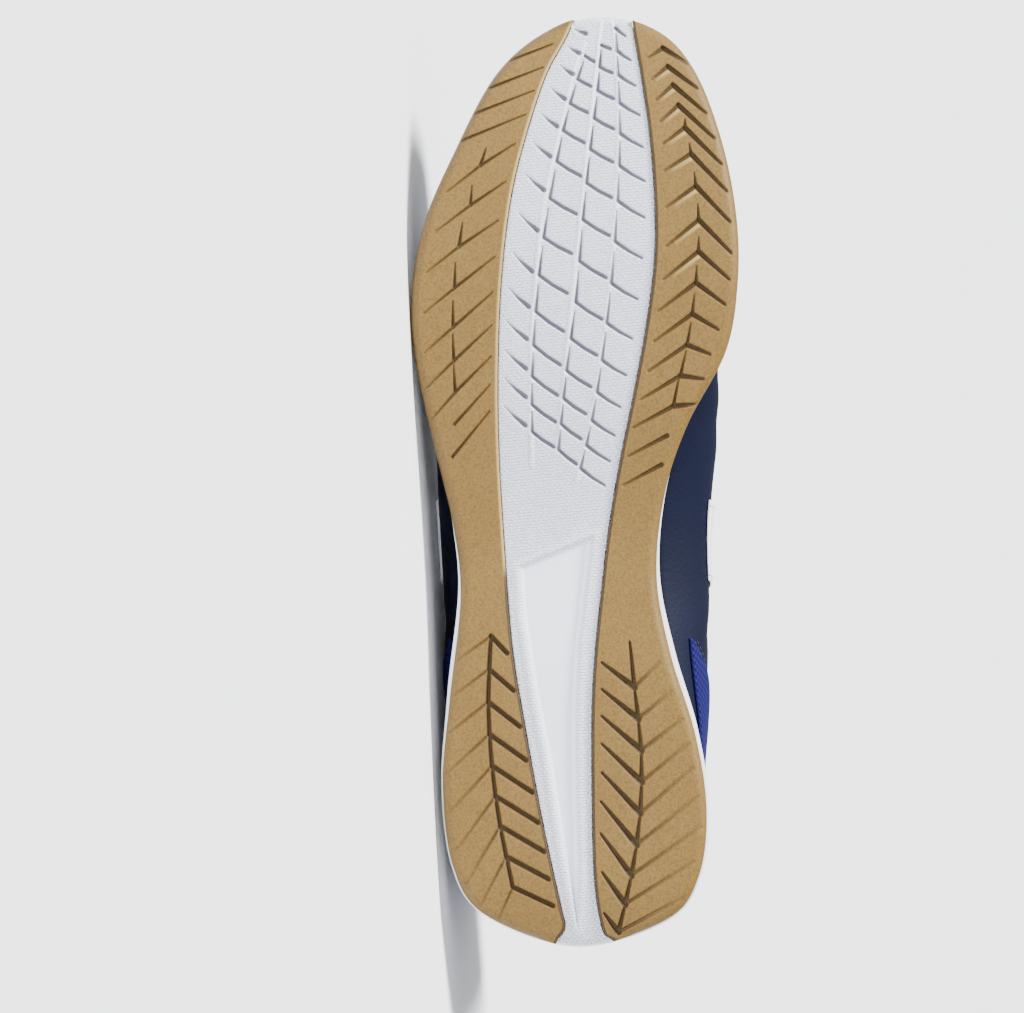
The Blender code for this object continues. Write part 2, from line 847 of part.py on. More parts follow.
def groove_cutter(name, bars):
    """One cutter mesh with a tapered bar along each line."""
    bm = bmesh.new()
    half = LUG_GROOVE_WIDTH / 2
    for line in bars:
        rings = []
        for i, point in enumerate(line):
            before = (point - line[i - 1]).normalized() if i else None
            after = (line[i + 1] - point).normalized() if i + 1 < len(line) else None
            ahead = ((before or after) + (after or before)).normalized()
            bend = ahead.dot(after or before)
            side = Vector((-ahead.y, ahead.x)) / max(bend, MITRE_LIMIT)
            base = ground(point.y / SOLE_LENGTH)
            ring = []
            for share, height in LUG_GROOVE_RING:
                spot = point + side * half * share
                ring.append(bm.verts.new((spot.x, spot.y, base + height * LUG_GROOVE_DEPTH)))
            rings.append(ring)
        for a, b in zip(rings, rings[1:]):
            for k in range(4):
                bm.faces.new((a[k], a[(k + 1) % 4], b[(k + 1) % 4], b[k]))
        bm.faces.new(rings[0])
        bm.faces.new(list(reversed(rings[-1])))
    bmesh.ops.recalc_face_normals(bm, faces=bm.faces)
    mesh = bpy.data.meshes.new(name)
    bm.to_mesh(mesh)
    bm.free()
    return add_piece(name, mesh, None, CUTTERS)


def make_outsole(gum, white):
    """The two gum bands with their lugs, and the recessed strip between them."""
    base, top = -HEEL_STACK, TOE_SPRING + HEEL_STACK
    outer_line = spline([plan_point(row) for row in OUTER_BAND_EDGE], False, BAND_STEPS)
    inner_line = spline([plan_point(row) for row in INNER_BAND_EDGE], False, BAND_STEPS)
    far = BALL_WIDTH
    outer_plan = shifted(outer_line, GAP / 2)
    outer_plan += [Vector((far, outer_plan[-1].y)), Vector((far, outer_plan[0].y))]
    inner_plan = shifted(inner_line, -GAP / 2)
    inner_plan += [Vector((-far, inner_plan[-1].y)), Vector((-far, inner_plan[0].y))]
    centre_plan = shifted(outer_line, -GAP / 2) + list(reversed(shifted(inner_line, GAP / 2)))
    plans = {
        "outsole_lateral": (outer_plan, 0.0, gum),
        "outsole_medial": (inner_plan, 0.0, gum),
        "outsole_centre": (centre_plan, CENTRE_RECESS, white),
    }
    for name, (plan, recess, material) in plans.items():
        piece = solid_of_profiles(name, cup_profile(recess), material)
        boolean(piece, prism(name + "_plan", plan, base, top), "INTERSECT")
        bars = [bar for block in TREAD if block.piece == name for bar in leg_cutters(block)]
        if bars:
            boolean(piece, groove_cutter(name + "_grooves", bars), "DIFFERENCE")
        else:
            boolean(piece, shank_cutter(), "DIFFERENCE")


def shank_cutter():
    """The recess under the shank: its roof follows the arch."""
    plan = [plan_point(row) for row in SHANK]
    cutter = prism("shank_plan", plan, -HEEL_STACK, CENTRE_RECESS + SHANK_RECESS)
    for vertex in cutter.data.vertices:
        if vertex.co.z > 0:
            vertex.co.z += ground(vertex.co.y / SOLE_LENGTH)
    return cutter


def make_upper(material, holes):
    """The upper: one hollow shell, its wall padded towards the collar."""
    mesh = grid_mesh("upper", UPPER_GRID)
    item = add_piece("upper", mesh, material)
    padding = item.vertex_groups.new(name="wall")
    thin = UPPER_WALL / COLLAR_WALL
    for vertex in mesh.vertices:
        padding.add([vertex.index], thin + (1 - thin) * collar_share(vertex.co), "REPLACE")
    wall = thicken(item, COLLAR_WALL, -1.0)
    wall.vertex_group = "wall"
    boolean(item, holes, "DIFFERENCE")
    return item


def ramp(value, low, high):
    """Rises smoothly from 0 at low to 1 at high."""
    t = min(max((value - low) / (high - low), 0.0), 1.0)
    return t * t * (3 - 2 * t)


def collar_share(spot):
    """How much of the collar's padding a point of the upper has."""
    along = spot.y / SOLE_LENGTH
    depth = read(TOPLINES, "height", along) * COLLAR_HEIGHT - spot.z
    near = 1 - ramp(depth, 0.0, COLLAR_PAD_DEPTH)
    return near * (1 - ramp(along, HEEL_FLAT_END, COLLAR_PAD_END))


def overlay(name, runs, rows, material):
    """An overlay from runs of the upper's own columns and its first to last rows, a
    gap outside the upper, with its own wall."""
    first, last = rows
    bm = bmesh.new()
    for run in runs:
        columns = [[bm.verts.new(p) for p in UPPER_GRID[i][first : last + 1]] for i in run]
        for left, right in zip(columns, columns[1:]):
            for j in range(last - first):
                bm.faces.new((left[j], right[j], right[j + 1], left[j + 1]))
    bmesh.ops.remove_doubles(bm, verts=bm.verts, dist=1e-6)
    mesh = bpy.data.meshes.new(name)
    bm.to_mesh(mesh)
    bm.free()
    mesh.shade_smooth()
    item = add_piece(name, mesh, material)
    lift = item.modifiers.new("clearance", "DISPLACE")
    lift.strength = GAP
    lift.mid_level = 0.0
    thicken(item, OVERLAY, 1.0)
    return item


def around(start, end):
    """Rib numbers from start to end, counter-clockwise, past the end of the list."""
    return [i % len(RIBS) for i in range(start, end + 1)]


def rib_number(along, outer):
    """The number of the station rib nearest a place, on one side."""
    nearest = min(range(len(STATIONS)), key=lambda i: abs(STATIONS[i] - along))
    if outer:
        return nearest
    return len(STATIONS) + TOE_FAN_STEPS - 1 + len(STATIONS) - 1 - nearest


def side_prism(name, outline):
    """A cutter pulled across the shoe from a side outline of (along, height) shares
    of SOLE_LENGTH and COLLAR_HEIGHT."""
    flat = [(along * SOLE_LENGTH, height * COLLAR_HEIGHT) for along, height in outline]
    turn = Matrix(((0, 0, 1, 0), (1, 0, 0, 0), (0, 1, 0, 0), (0, 0, 0, 1)))
    return prism(name, flat, -BALL_WIDTH, BALL_WIDTH, turn)


def make_overlays(navy, white, blue, holes):
    """The eyestay, the two side panels and the heel counter."""
    top_row = len(UPPER_GRID[0]) - 1
    sides = (
        around(rib_number(THROAT_TOP, True), rib_number(EYESTAY_FRONT, True)),
        around(rib_number(EYESTAY_FRONT, False), rib_number(THROAT_TOP, False)),
    )
    eyestay = overlay("eyestay", sides, (EYESTAY_ROW, top_row), navy)
    boolean(eyestay, holes, "DIFFERENCE")
    for name, outer in (("side_panel_lateral", True), ("side_panel_medial", False)):
        ends = sorted(rib_number(along, outer) for along in (SADDLE_BACK, SADDLE_FRONT))
        panel = overlay(name, (around(*ends),), PANEL_ROWS, white)
        boolean(panel, side_prism(name + "_side", SADDLE), "INTERSECT")
    first = rib_number(COUNTER_FRONT, False)
    last = rib_number(COUNTER_FRONT, True) + len(RIBS)
    counter = overlay("heel_counter", (around(first, last),), (0, top_row), blue)
    boolean(counter, side_prism("heel_counter_side", COUNTER), "INTERSECT")


def ridge_height(x, y):
    """The height of the upper's outer face over a plan point, throat closed."""
    along = y / SOLE_LENGTH
    spine = read(STACKS, "spine", along) * BALL_WIDTH
    rib = rib_at(along, 0.0 if x >= spine else math.pi)
    power = 2 / read(SECTIONS, "roundness", along)
    out = min(abs(x - spine) / widest(rib), 1.0)
    rise = math.sin(math.acos(out ** (1 / power))) ** power
    return bulge_height(rib) + (crest(along) - bulge_height(rib)) * rise


def ridge_frame(x, y):
    """The point over a plan point on the upper's face, and the face's normal."""
    step = GAP / 2
    dx = (ridge_height(x + step, y) - ridge_height(x - step, y)) / (2 * step)
    dy = (ridge_height(x, y + step) - ridge_height(x, y - step)) / (2 * step)
    return Vector((x, y, ridge_height(x, y))), Vector((-dx, -dy, 1.0)).normalized()


def eyelet_spot(index, side):
    """The plan point of an eyelet: index 0 is nearest the toe, side is 1 or -1."""
    along = EYELET_FRONT + (EYELET_TOP - EYELET_FRONT) * index / (EYELET_PAIRS - 1)
    rib = rib_at(along, 0.0 if side > 0 else math.pi)
    end_t = last_t(rib)
    edge = upper_point(rib, end_t)
    low, high = 1.0, end_t
    for _ in range(HALVINGS):
        middle = (low + high) / 2
        if (upper_point(rib, middle) - edge).length > EYELET_INSET:
            low = middle
        else:
            high = middle
    spot = upper_point(rib, low)
    return Vector((spot.x, spot.y))


def make_holes():
    """The cutter for every eyelet hole."""
    bm = bmesh.new()
    depth = 4 * (UPPER_WALL + OVERLAY + GAP)
    for index in range(EYELET_PAIRS):
        for side in (1, -1):
            spot, normal = ridge_frame(*eyelet_spot(index, side))
            turn = Vector((0, 0, 1)).rotation_difference(normal).to_matrix().to_4x4()
            bmesh.ops.create_cone(
                bm,
                cap_ends=True,
                segments=HOLE_SIDES,
                radius1=EYELET_BORE / 2,
                radius2=EYELET_BORE / 2,
                depth=depth,
                matrix=Matrix.Translation(spot) @ turn,
            )
    mesh = bpy.data.meshes.new("eyelet_holes")
    bm.to_mesh(mesh)
    bm.free()
    return add_piece("eyelet_holes", mesh, None, CUTTERS)


def tongue_columns():
    """Rings of the tongue from its top to its toe end, outer face then inner."""
    columns = []
    for along in spread(TONGUE[0].along, TONGUE[-1].along, TONGUE_STEPS) + [TONGUE[-1].along]:
        half = read(TONGUE, "width", along) * TONGUE_WIDTH / 2
        full = read(TONGUE, "thickness", along) * TONGUE_THICKNESS
        spine = read(STACKS, "spine", along) * BALL_WIDTH
        outer, inner = [], []
        for k in range(-TONGUE_HALF_POINTS, TONGUE_HALF_POINTS + 1):
            place = k / TONGUE_HALF_POINTS
            spot, normal = ridge_frame(spine + half * place, along * SOLE_LENGTH)
            thick = full * (1 - TONGUE_EDGE_TAPER * abs(place) ** 3)
            outer.append(spot - normal * (UPPER_WALL + TONGUE_GAP))
            inner.append(spot - normal * (UPPER_WALL + TONGUE_GAP + thick))
        columns.append(outer + list(reversed(inner)))
    return columns


def make_tongue(material):
    """The tongue, a padded tab under the throat that stands above the collar."""
    bm = bmesh.new()
    rings = [[bm.verts.new(point) for point in column] for column in tongue_columns()]
    count = len(rings[0])
    for a, b in zip(rings, rings[1:]):
        for k in range(count):
            bm.faces.new((a[k], a[(k + 1) % count], b[(k + 1) % count], b[k]))
    for ring in (rings[0], rings[-1]):
        for k in range(count // 2 - 1):
            bm.faces.new((ring[k], ring[k + 1], ring[count - 2 - k], ring[count - 1 - k]))
    bmesh.ops.recalc_face_normals(bm, faces=bm.faces)
    mesh = bpy.data.meshes.new("tongue")
    bm.to_mesh(mesh)
    bm.free()
    mesh.shade_smooth()
    return add_piece("tongue", mesh, material)


def lace_bar(bm, start, end, lift):
    """One flat bar of the lace over the throat, between two plan points."""
    ahead = (end - start).normalized()
    start, end = start - ahead * LACE_WIDTH / 2, end + ahead * LACE_WIDTH / 2
    centres = []
    for i in range(LACE_STEPS + 1):
        spot = start.lerp(end, i / LACE_STEPS)
        point, normal = ridge_frame(spot.x, spot.y)
        centres.append((point + normal * lift, normal))
    rings = []
    for i, (point, normal) in enumerate(centres):
        ahead, behind = centres[min(i + 1, LACE_STEPS)][0], centres[max(i - 1, 0)][0]
        tangent = (ahead - behind).normalized()
        side = tangent.cross(normal).normalized() * LACE_WIDTH / 2
        up = side.cross(tangent).normalized() * LACE_THICKNESS / 2
        corners = (side + up, -side + up, -side - up, side - up)
        rings.append([bm.verts.new(point + corner) for corner in corners])
    for a, b in zip(rings, rings[1:]):
        for k in range(4):
            bm.faces.new((a[k], a[(k + 1) % 4], b[(k + 1) % 4], b[k]))
    bm.faces.new(rings[0])
    bm.faces.new(list(reversed(rings[-1])))


def make_laces(material):
    """The lace: a bottom bar and two zigzags of bars that cross, joined in one."""
    base = GAP + OVERLAY + LACE_GAP + LACE_THICKNESS / 2 + GAP
    step = LACE_THICKNESS / 4
    bars = [(eyelet_spot(0, 1), eyelet_spot(0, -1), base + 4 * step)]
    for family, first_side in ((0, 1), (1, -1)):
        side = first_side
        for index in range(EYELET_PAIRS - 1):
            lift = base + step * (2 * family + index % 2)
            bars.append((eyelet_spot(index, side), eyelet_spot(index + 1, -side), lift))
            side = -side
    laces = None
    for number, (start, end, lift) in enumerate(bars):
        bm = bmesh.new()
        lace_bar(bm, start, end, lift)
        bmesh.ops.recalc_face_normals(bm, faces=bm.faces)
        name = "laces" if laces is None else f"lace_bar_{number}"
        mesh = bpy.data.meshes.new(name)
        bm.to_mesh(mesh)
        bm.free()
        if laces is None:
            laces = add_piece(name, mesh, material)
        else:
            boolean(laces, add_piece(name, mesh, None, CUTTERS), "UNION")
    return laces


def evaluated(item):
    """A piece's finished mesh in shoe axes."""
    graph = bpy.context.evaluated_depsgraph_get()
    bm = bmesh.new()
    bm.from_object(item, graph)
    bmesh.ops.triangulate(bm, faces=bm.faces)
    return bm


DENSITY = {
    "outsole_lateral": RUBBER,
    "outsole_medial": RUBBER,
    "outsole_centre": RUBBER,
    "upper": SYNTHETIC,
    "eyestay": SYNTHETIC,
    "side_panel_lateral": SYNTHETIC,
    "side_panel_medial": SYNTHETIC,
}

# What hangs clear of the floor, and doesn't count for the resting place

FLOATING = ("eyestay", "side_panel_medial", "laces")


def weigh():
    """The centre of mass in shoe axes, and the points that can touch the floor."""
    mass, moment, points = 0.0, Vector(), []
    for item in PIECES.objects:
        bm = evaluated(item)
        density = DENSITY.get(item.name, FABRIC)
        for face in bm.faces:
            a, b, c = (vertex.co for vertex in face.verts)
            part = a.dot(b.cross(c)) / 6 * density
            mass += part
            moment += (a + b + c) / 4 * part
        if item.name not in FLOATING:
            points += [vertex.co.copy() for vertex in bm.verts]
        bm.free()
    return moment / mass, points


def stands(face, centre):
    """Whether the centre of mass lies straight above a hull face."""
    foot = centre + face.normal * face.normal.dot(face.verts[0].co - centre)
    for edge in face.loops:
        a, b = edge.vert.co, edge.link_loop_next.vert.co
        if (b - a).cross(foot - a).dot(face.normal) < 0:
            return False
    return True


def resting_turn(centre, points):
    """The turn that lays the shoe on the outer side, on the hull face nearest to its
    centre of mass, with the toe towards -X and the sole facing -Y."""
    bm = bmesh.new()
    for point in points:
        bm.verts.new(point)
    bmesh.ops.convex_hull(bm, input=bm.verts)
    bm.normal_update()
    sides = [face for face in bm.faces if face.normal.x > SIDEWAYS]
    stable = [side for side in sides if stands(side, centre)]
    face = min(stable or sides, key=lambda side: side.normal.dot(side.verts[0].co - centre))
    down = face.normal.copy()
    bm.free()
    up = -down
    toe = Vector((0, 1, 0)) - down * down.y
    right = -toe.normalized()
    return Matrix((right, up.cross(right), up)).to_4x4()


def lay_down():
    """Parents every object to an empty that holds the shoe's resting place."""
    centre, points = weigh()
    turn = resting_turn(centre, points)
    everything = []
    for item in PIECES.objects:
        bm = evaluated(item)
        everything += [turn @ vertex.co for vertex in bm.verts]
        bm.free()
    low = Vector([min(point[k] for point in everything) for k in range(3)])
    high = Vector([max(point[k] for point in everything) for k in range(3)])
    shift = Vector((-(low.x + high.x) / 2, -(low.y + high.y) / 2, -low.z))
    holder = bpy.data.objects.new("shoe_axes", None)
    PIECES.objects.link(holder)
    for item in list(PIECES.objects) + list(CUTTERS.objects):
        if item is not holder:
            item.parent = holder
    holder.matrix_world = Matrix.Translation(shift) @ turn


def main():
    """Builds the shoe and lays it on its side."""
    clear_scene()
    gum = finish("gum_rubber", (0.44, 0.31, 0.16), 0.55)
    white = finish("white_rubber", (0.72, 0.72, 0.75), 0.6)
    foam = finish("white_foam", (0.74, 0.75, 0.77), 0.65)
    navy = finish("navy_synthetic", (0.024, 0.035, 0.078), 0.45)
    panel = finish("white_synthetic", (0.82, 0.83, 0.86), 0.4)
    blue = finish("blue_mesh", (0.025, 0.035, 0.22), 0.8)
    lining = finish("navy_fabric", (0.02, 0.028, 0.06), 0.9)
    holes = make_holes()
    make_outsole(gum, white)
    solid_of_profiles("midsole", midsole_profile, foam)
    solid_of_profiles("insole", insole_profile, lining)
    make_upper(navy, holes)
    make_tongue(lining)
    make_overlays(navy, panel, blue, holes)
    make_laces(panel)
    bpy.context.view_layer.update()
    lay_down()


main()
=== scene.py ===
"""Looks of an indoor soccer shoe for the right foot, lying on its outer side.

Every piece is worked out in shoe axes (+X to the outer side, +Y to the toe, +Z up, the
back of the heel at Y = 0 and the tread's flat at Z = 0), in metres, and put into the
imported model's frame by one fixed turn. Lengths in the tables are shares of the named
size that the row's text gives.
"""

import logging
import math
from collections.abc import Callable, Sequence
from dataclasses import dataclass, field
from enum import Enum
from functools import cache
from typing import NamedTuple

import bmesh
import bpy
import numpy as np
from mathutils import Matrix, Vector

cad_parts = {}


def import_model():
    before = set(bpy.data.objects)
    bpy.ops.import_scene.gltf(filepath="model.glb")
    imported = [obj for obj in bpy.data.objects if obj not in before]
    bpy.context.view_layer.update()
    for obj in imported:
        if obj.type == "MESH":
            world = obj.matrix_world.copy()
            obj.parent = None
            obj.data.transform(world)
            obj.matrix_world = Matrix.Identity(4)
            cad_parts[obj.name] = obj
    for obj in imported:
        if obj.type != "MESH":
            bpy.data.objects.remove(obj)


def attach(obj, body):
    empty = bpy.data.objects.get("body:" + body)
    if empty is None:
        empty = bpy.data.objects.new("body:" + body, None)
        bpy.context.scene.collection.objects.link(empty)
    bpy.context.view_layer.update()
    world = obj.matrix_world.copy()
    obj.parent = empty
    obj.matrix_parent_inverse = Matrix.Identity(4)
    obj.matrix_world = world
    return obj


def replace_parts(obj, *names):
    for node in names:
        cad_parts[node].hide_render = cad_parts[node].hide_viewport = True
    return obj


LOG = logging.getLogger("shoe")

# Sizes of the last and of the sole, in metres, as in the CAD part
SOLE_LENGTH = 0.2935
BALL_WIDTH = 0.1028
WAIST_WIDTH = 0.062
HEEL_WIDTH = 0.0826
INSTEP_HEIGHT = 0.092
COLLAR_HEIGHT = 0.088
TOE_SPRING = 0.018
ARCH_LIFT = 0.003
HEEL_BEVEL = 0.004
HEEL_STACK = 0.022
GUM_THICKNESS = 0.0032
GUM_WRAP = 0.009
GUM_WALL = 0.0018
GUM_EDGE = 0.003
MIDSOLE_FLARE = 0.0015
CENTRE_RECESS = 0.0009
SHANK_RECESS = 0.0014
THROAT_WIDTH = 0.038
TUCK = 0.0022
GAP = 0.0003
MM = 0.001
TO_CM = 100
WELD = 2e-7

# Places along the shoe, as shares of SOLE_LENGTH from the back of the heel
HEEL_CENTRE = 0.143
HEEL_FLAT_START = 0.085
HEEL_FLAT_END = 0.273
FOREFOOT_FLAT_START = 0.630
THROAT_TOP = 0.412
THROAT_FRONT = 0.698
TOE_CENTRE = 0.852
COLLAR_PAD_END = 0.372

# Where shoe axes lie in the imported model's frame
SHOE_TO_FRAME = Matrix(
    (
        (-0.050141, -0.998737, -0.003066, 0.146485),
        (-0.061079, 0.000002, 0.998133, -0.051663),
        (-0.996873, 0.050235, -0.061002, 0.043449),
        (0.0, 0.0, 0.0, 1.0),
    )
)


class Rim(NamedTuple):
    """A point of the sole's outline: shares of SOLE_LENGTH and of the width named."""

    along: float
    across: float
    width: float


class Section(NamedTuple):
    """A section of the upper: crest and bulge are shares of INSTEP_HEIGHT, overhangs
    of BALL_WIDTH, and roundness is the curve's power."""

    along: float
    crest: float
    roundness: float
    inner_overhang: float
    outer_overhang: float
    bulge: float


class Stack(NamedTuple):
    """The sole's side: shares of HEEL_STACK, GUM_WRAP, MIDSOLE_FLARE, BALL_WIDTH."""

    along: float
    stack: float
    wrap: float
    flare: float
    spine: float


class Place(NamedTuple):
    """A value at a place along the shoe; its table names what it is a share of."""

    along: float
    value: float


class Edge(NamedTuple):
    """A plan point: shares of SOLE_LENGTH and BALL_WIDTH."""

    along: float
    across: float


class Chevron(NamedTuple):
    """A lug groove's apex and the ends of its two legs, and the top of its tick."""

    number: int
    apex: float
    apex_across: float
    inner: float
    inner_across: float
    outer: float
    outer_across: float


class Tick(NamedTuple):
    """The top of the short leg of a lug groove that runs to the toe."""

    number: int
    along: float
    across: float


class Cell(NamedTuple):
    """A groove of the centre strip: its corner and its far end."""

    number: int
    start: float
    start_across: float
    end: float
    end_across: float


class TongueRow(NamedTuple):
    """The tongue: half width and thickness in millimetres."""

    along: float
    half_width: float
    thickness: float


def table(kind: type, rows: Sequence[tuple]) -> tuple:
    """A table's rows, with its columns named."""
    return tuple(kind(*row) for row in rows)


OUTLINE = table(Rim, (
    (1.0, -0.063, BALL_WIDTH), (0.984, -0.233, BALL_WIDTH), (0.94, -0.346, BALL_WIDTH),
    (0.864, -0.429, BALL_WIDTH), (0.784, -0.474, BALL_WIDTH), (0.712, -0.479, BALL_WIDTH),
    (0.638, -0.443, BALL_WIDTH), (0.559, -0.539, WAIST_WIDTH), (0.485, -0.424, WAIST_WIDTH),
    (0.399, -0.384, WAIST_WIDTH), (0.317, -0.453, WAIST_WIDTH), (0.232, -0.433, HEEL_WIDTH),
    (0.15, -0.478, HEEL_WIDTH), (0.078, -0.448, HEEL_WIDTH), (0.032, -0.327, HEEL_WIDTH),
    (0.003, 0.015, HEEL_WIDTH), (0.036, 0.36, HEEL_WIDTH), (0.089, 0.484, HEEL_WIDTH),
    (0.177, 0.522, HEEL_WIDTH), (0.266, 0.496, HEEL_WIDTH), (0.375, 0.608, WAIST_WIDTH),
    (0.45, 0.645, WAIST_WIDTH), (0.535, 0.445, BALL_WIDTH), (0.62, 0.499, BALL_WIDTH),
    (0.688, 0.517, BALL_WIDTH), (0.77, 0.481, BALL_WIDTH), (0.845, 0.396, BALL_WIDTH),
    (0.937, 0.262, BALL_WIDTH), (0.986, 0.102, BALL_WIDTH),
))

SECTIONS = table(Section, (
    (0.0, 1.37, 2.0, -0.022, -0.022, 0.196), (0.119, 1.348, 2.0, -0.022, -0.022, 0.207),
    (0.187, 1.304, 2.0, -0.009, -0.015, 0.217), (0.256, 1.261, 2.0, 0.047, 0.022, 0.228),
    (0.324, 1.196, 1.9, 0.112, 0.058, 0.239), (0.392, 1.109, 1.9, 0.153, 0.075, 0.239),
    (0.46, 1.0, 1.9, 0.146, 0.058, 0.228), (0.528, 0.902, 2.0, 0.112, 0.019, 0.196),
    (0.579, 0.837, 2.0, 0.054, -0.005, 0.152), (0.637, 0.755, 2.1, -0.019, -0.019, 0.12),
    (0.698, 0.674, 2.2, -0.024, -0.024, 0.098), (0.767, 0.609, 2.3, -0.024, -0.024, 0.087),
    (0.852, 0.543, 2.4, -0.024, -0.024, 0.076), (0.92, 0.511, 2.5, -0.029, -0.029, 0.065),
    (1.0, 0.478, 2.5, -0.034, -0.034, 0.054),
))

STACKS = table(Stack, (
    (0.0, 1.0, 0.67, 0.67, 0.015), (0.204, 0.977, 0.55, 0.67, 0.015), (0.324, 0.909, 0.5, 1.0, 0.005),
    (0.46, 0.795, 0.5, 0.3, 0.0), (0.579, 0.682, 0.58, -0.3, -0.01), (0.698, 0.591, 0.67, -0.67, -0.019),
    (0.852, 0.568, 0.83, -0.67, -0.029), (1.0, 0.568, 1.0, -0.67, -0.029),
))

# The collar's edge, as shares of COLLAR_HEIGHT
TOPLINES = table(Place, (
    (0.0, 1.0), (0.051, 0.966), (0.119, 0.898), (0.187, 0.852), (0.256, 0.847), (0.324, 0.898),
    (0.375, 0.977), (0.426, 1.08),
))

# The throat's half width, as shares of THROAT_WIDTH
THROATS = table(Place, (
    (0.392, 0.5), (0.477, 0.408), (0.579, 0.303), (0.664, 0.211), (0.687, 0.125), (0.698, 0.0),
))

# The inner edges of the two gum bands, from toe to heel
OUTER_BAND_EDGE = table(Edge, (
    (1.03, -0.01), (0.979, 0.045), (0.935, 0.108), (0.869, 0.167), (0.8, 0.212), (0.711, 0.24),
    (0.613, 0.25), (0.515, 0.246), (0.402, 0.226), (0.319, 0.205), (0.244, 0.17), (0.139, 0.115),
    (0.048, 0.059), (0.024, 0.046), (0.008, 0.07), (-0.03, 0.11),
))

INNER_BAND_EDGE = table(Edge, (
    (1.03, -0.14), (0.991, -0.154), (0.935, -0.182), (0.869, -0.21), (0.8, -0.226), (0.735, -0.226),
    (0.662, -0.2), (0.589, -0.161), (0.525, -0.123), (0.46, -0.091), (0.392, -0.067), (0.284, -0.039),
    (0.175, -0.036), (0.078, -0.043), (0.022, -0.067), (0.008, -0.1), (-0.03, -0.15),
))

SHANK = table(Edge, (
    (0.409, 0.192), (0.355, 0.182), (0.27, 0.143), (0.206, 0.106), (0.11, 0.061), (0.025, 0.012),
    (0.02, 0.004), (0.08, -0.003), (0.164, 0.003), (0.249, 0.006), (0.323, -0.003), (0.387, -0.024),
    (0.443, -0.043),
))

# Lug grooves: shares of SOLE_LENGTH and of the ball width, or the heel width for pods
FOREFOOT_INNER = table(Chevron, (
    (0, 0.964, -0.248, 0.953, -0.203, 0.947, -0.325), (3, 0.901, -0.297, 0.883, -0.241, 0.865, -0.406),
    (5, 0.848, -0.336, 0.83, -0.255, 0.808, -0.444), (7, 0.777, -0.36, 0.749, -0.262, 0.742, -0.458),
    (9, 0.71, -0.352, 0.68, -0.238, 0.687, -0.44), (11, 0.644, -0.325, 0.616, -0.207, 0.634, -0.395),
    (13, 0.579, -0.283, 0.556, -0.161, 0.581, -0.353), (15, 0.517, -0.248, 0.495, -0.132, 0.524, -0.3),
))

FOREFOOT_OUTER = table(Chevron, (
    (0, 0.953, 0.205, 0.968, 0.097, 0.94, 0.24), (3, 0.866, 0.345, 0.89, 0.18, 0.845, 0.39),
    (4, 0.836, 0.306, 0.86, 0.2, 0.808, 0.407), (6, 0.749, 0.369, 0.777, 0.25, 0.721, 0.47),
    (8, 0.663, 0.387, 0.701, 0.264, 0.636, 0.474), (10, 0.594, 0.38, 0.632, 0.271, 0.563, 0.457),
    (12, 0.525, 0.39, 0.574, 0.275, 0.5, 0.42),
))

HEEL_OUTER = table(Chevron, (
    (0, 0.334, 0.338, 0.316, 0.277, 0.308, 0.464), (2, 0.264, 0.348, 0.238, 0.229, 0.228, 0.507),
    (4, 0.196, 0.334, 0.168, 0.182, 0.146, 0.494), (6, 0.132, 0.303, 0.105, 0.138, 0.069, 0.434),
    (8, 0.067, 0.255, 0.047, 0.103, 0.028, 0.316),
))

HEEL_INNER = table(Chevron, (
    (0, 0.28, -0.205, 0.306, -0.083, 0.306, -0.3), (2, 0.213, -0.231, 0.249, -0.083, 0.246, -0.387),
    (4, 0.146, -0.227, 0.189, -0.083, 0.194, -0.426), (6, 0.08, -0.194, 0.124, -0.079, 0.131, -0.457),
    (8, 0.019, -0.144, 0.039, -0.092, 0.057, -0.396),
))

TICKS_INNER = table(Tick, (
    (4, 0.886, -0.318), (5, 0.859, -0.331), (6, 0.828, -0.346), (7, 0.794, -0.357), (8, 0.759, -0.36),
    (9, 0.728, -0.354), (10, 0.698, -0.347), (11, 0.667, -0.336), (12, 0.638, -0.322), (13, 0.611, -0.301),
))

TICKS_OUTER = table(Tick, (
    (4, 0.855, 0.289), (5, 0.815, 0.331), (6, 0.775, 0.359), (7, 0.732, 0.38), (8, 0.691, 0.387),
    (9, 0.656, 0.388), (10, 0.623, 0.385),
))

# Grooves of the centre strip, one table for each column from the outer side
COLUMN_0 = table(Cell, (
    (0, 0.986, 0.024, 0.981, -0.011), (2, 0.946, 0.066, 0.936, 0.027), (4, 0.893, 0.122, 0.879, 0.073),
    (6, 0.827, 0.167, 0.81, 0.111), (8, 0.743, 0.205, 0.723, 0.146), (10, 0.671, 0.226, 0.651, 0.162),
    (13, 0.579, 0.23, 0.559, 0.167),
))

COLUMN_1 = table(Cell, (
    (0, 0.956, -0.011, 0.95, -0.038), (2, 0.904, 0.034, 0.894, -0.019), (4, 0.841, 0.073, 0.825, -0.001),
    (6, 0.759, 0.111, 0.742, 0.027), (8, 0.68, 0.135, 0.659, 0.05), (10, 0.611, 0.146, 0.591, 0.069),
    (12, 0.552, 0.146, 0.536, 0.081),
))

COLUMN_2 = table(Cell, (
    (0, 0.968, -0.06, 0.964, -0.087), (2, 0.918, -0.05, 0.909, -0.098), (4, 0.854, -0.029, 0.84, -0.098),
    (6, 0.778, -0.008, 0.761, -0.088), (8, 0.69, 0.013, 0.672, -0.066), (10, 0.617, 0.041, 0.6, -0.032),
    (13, 0.533, 0.066, 0.518, 0.013),
))

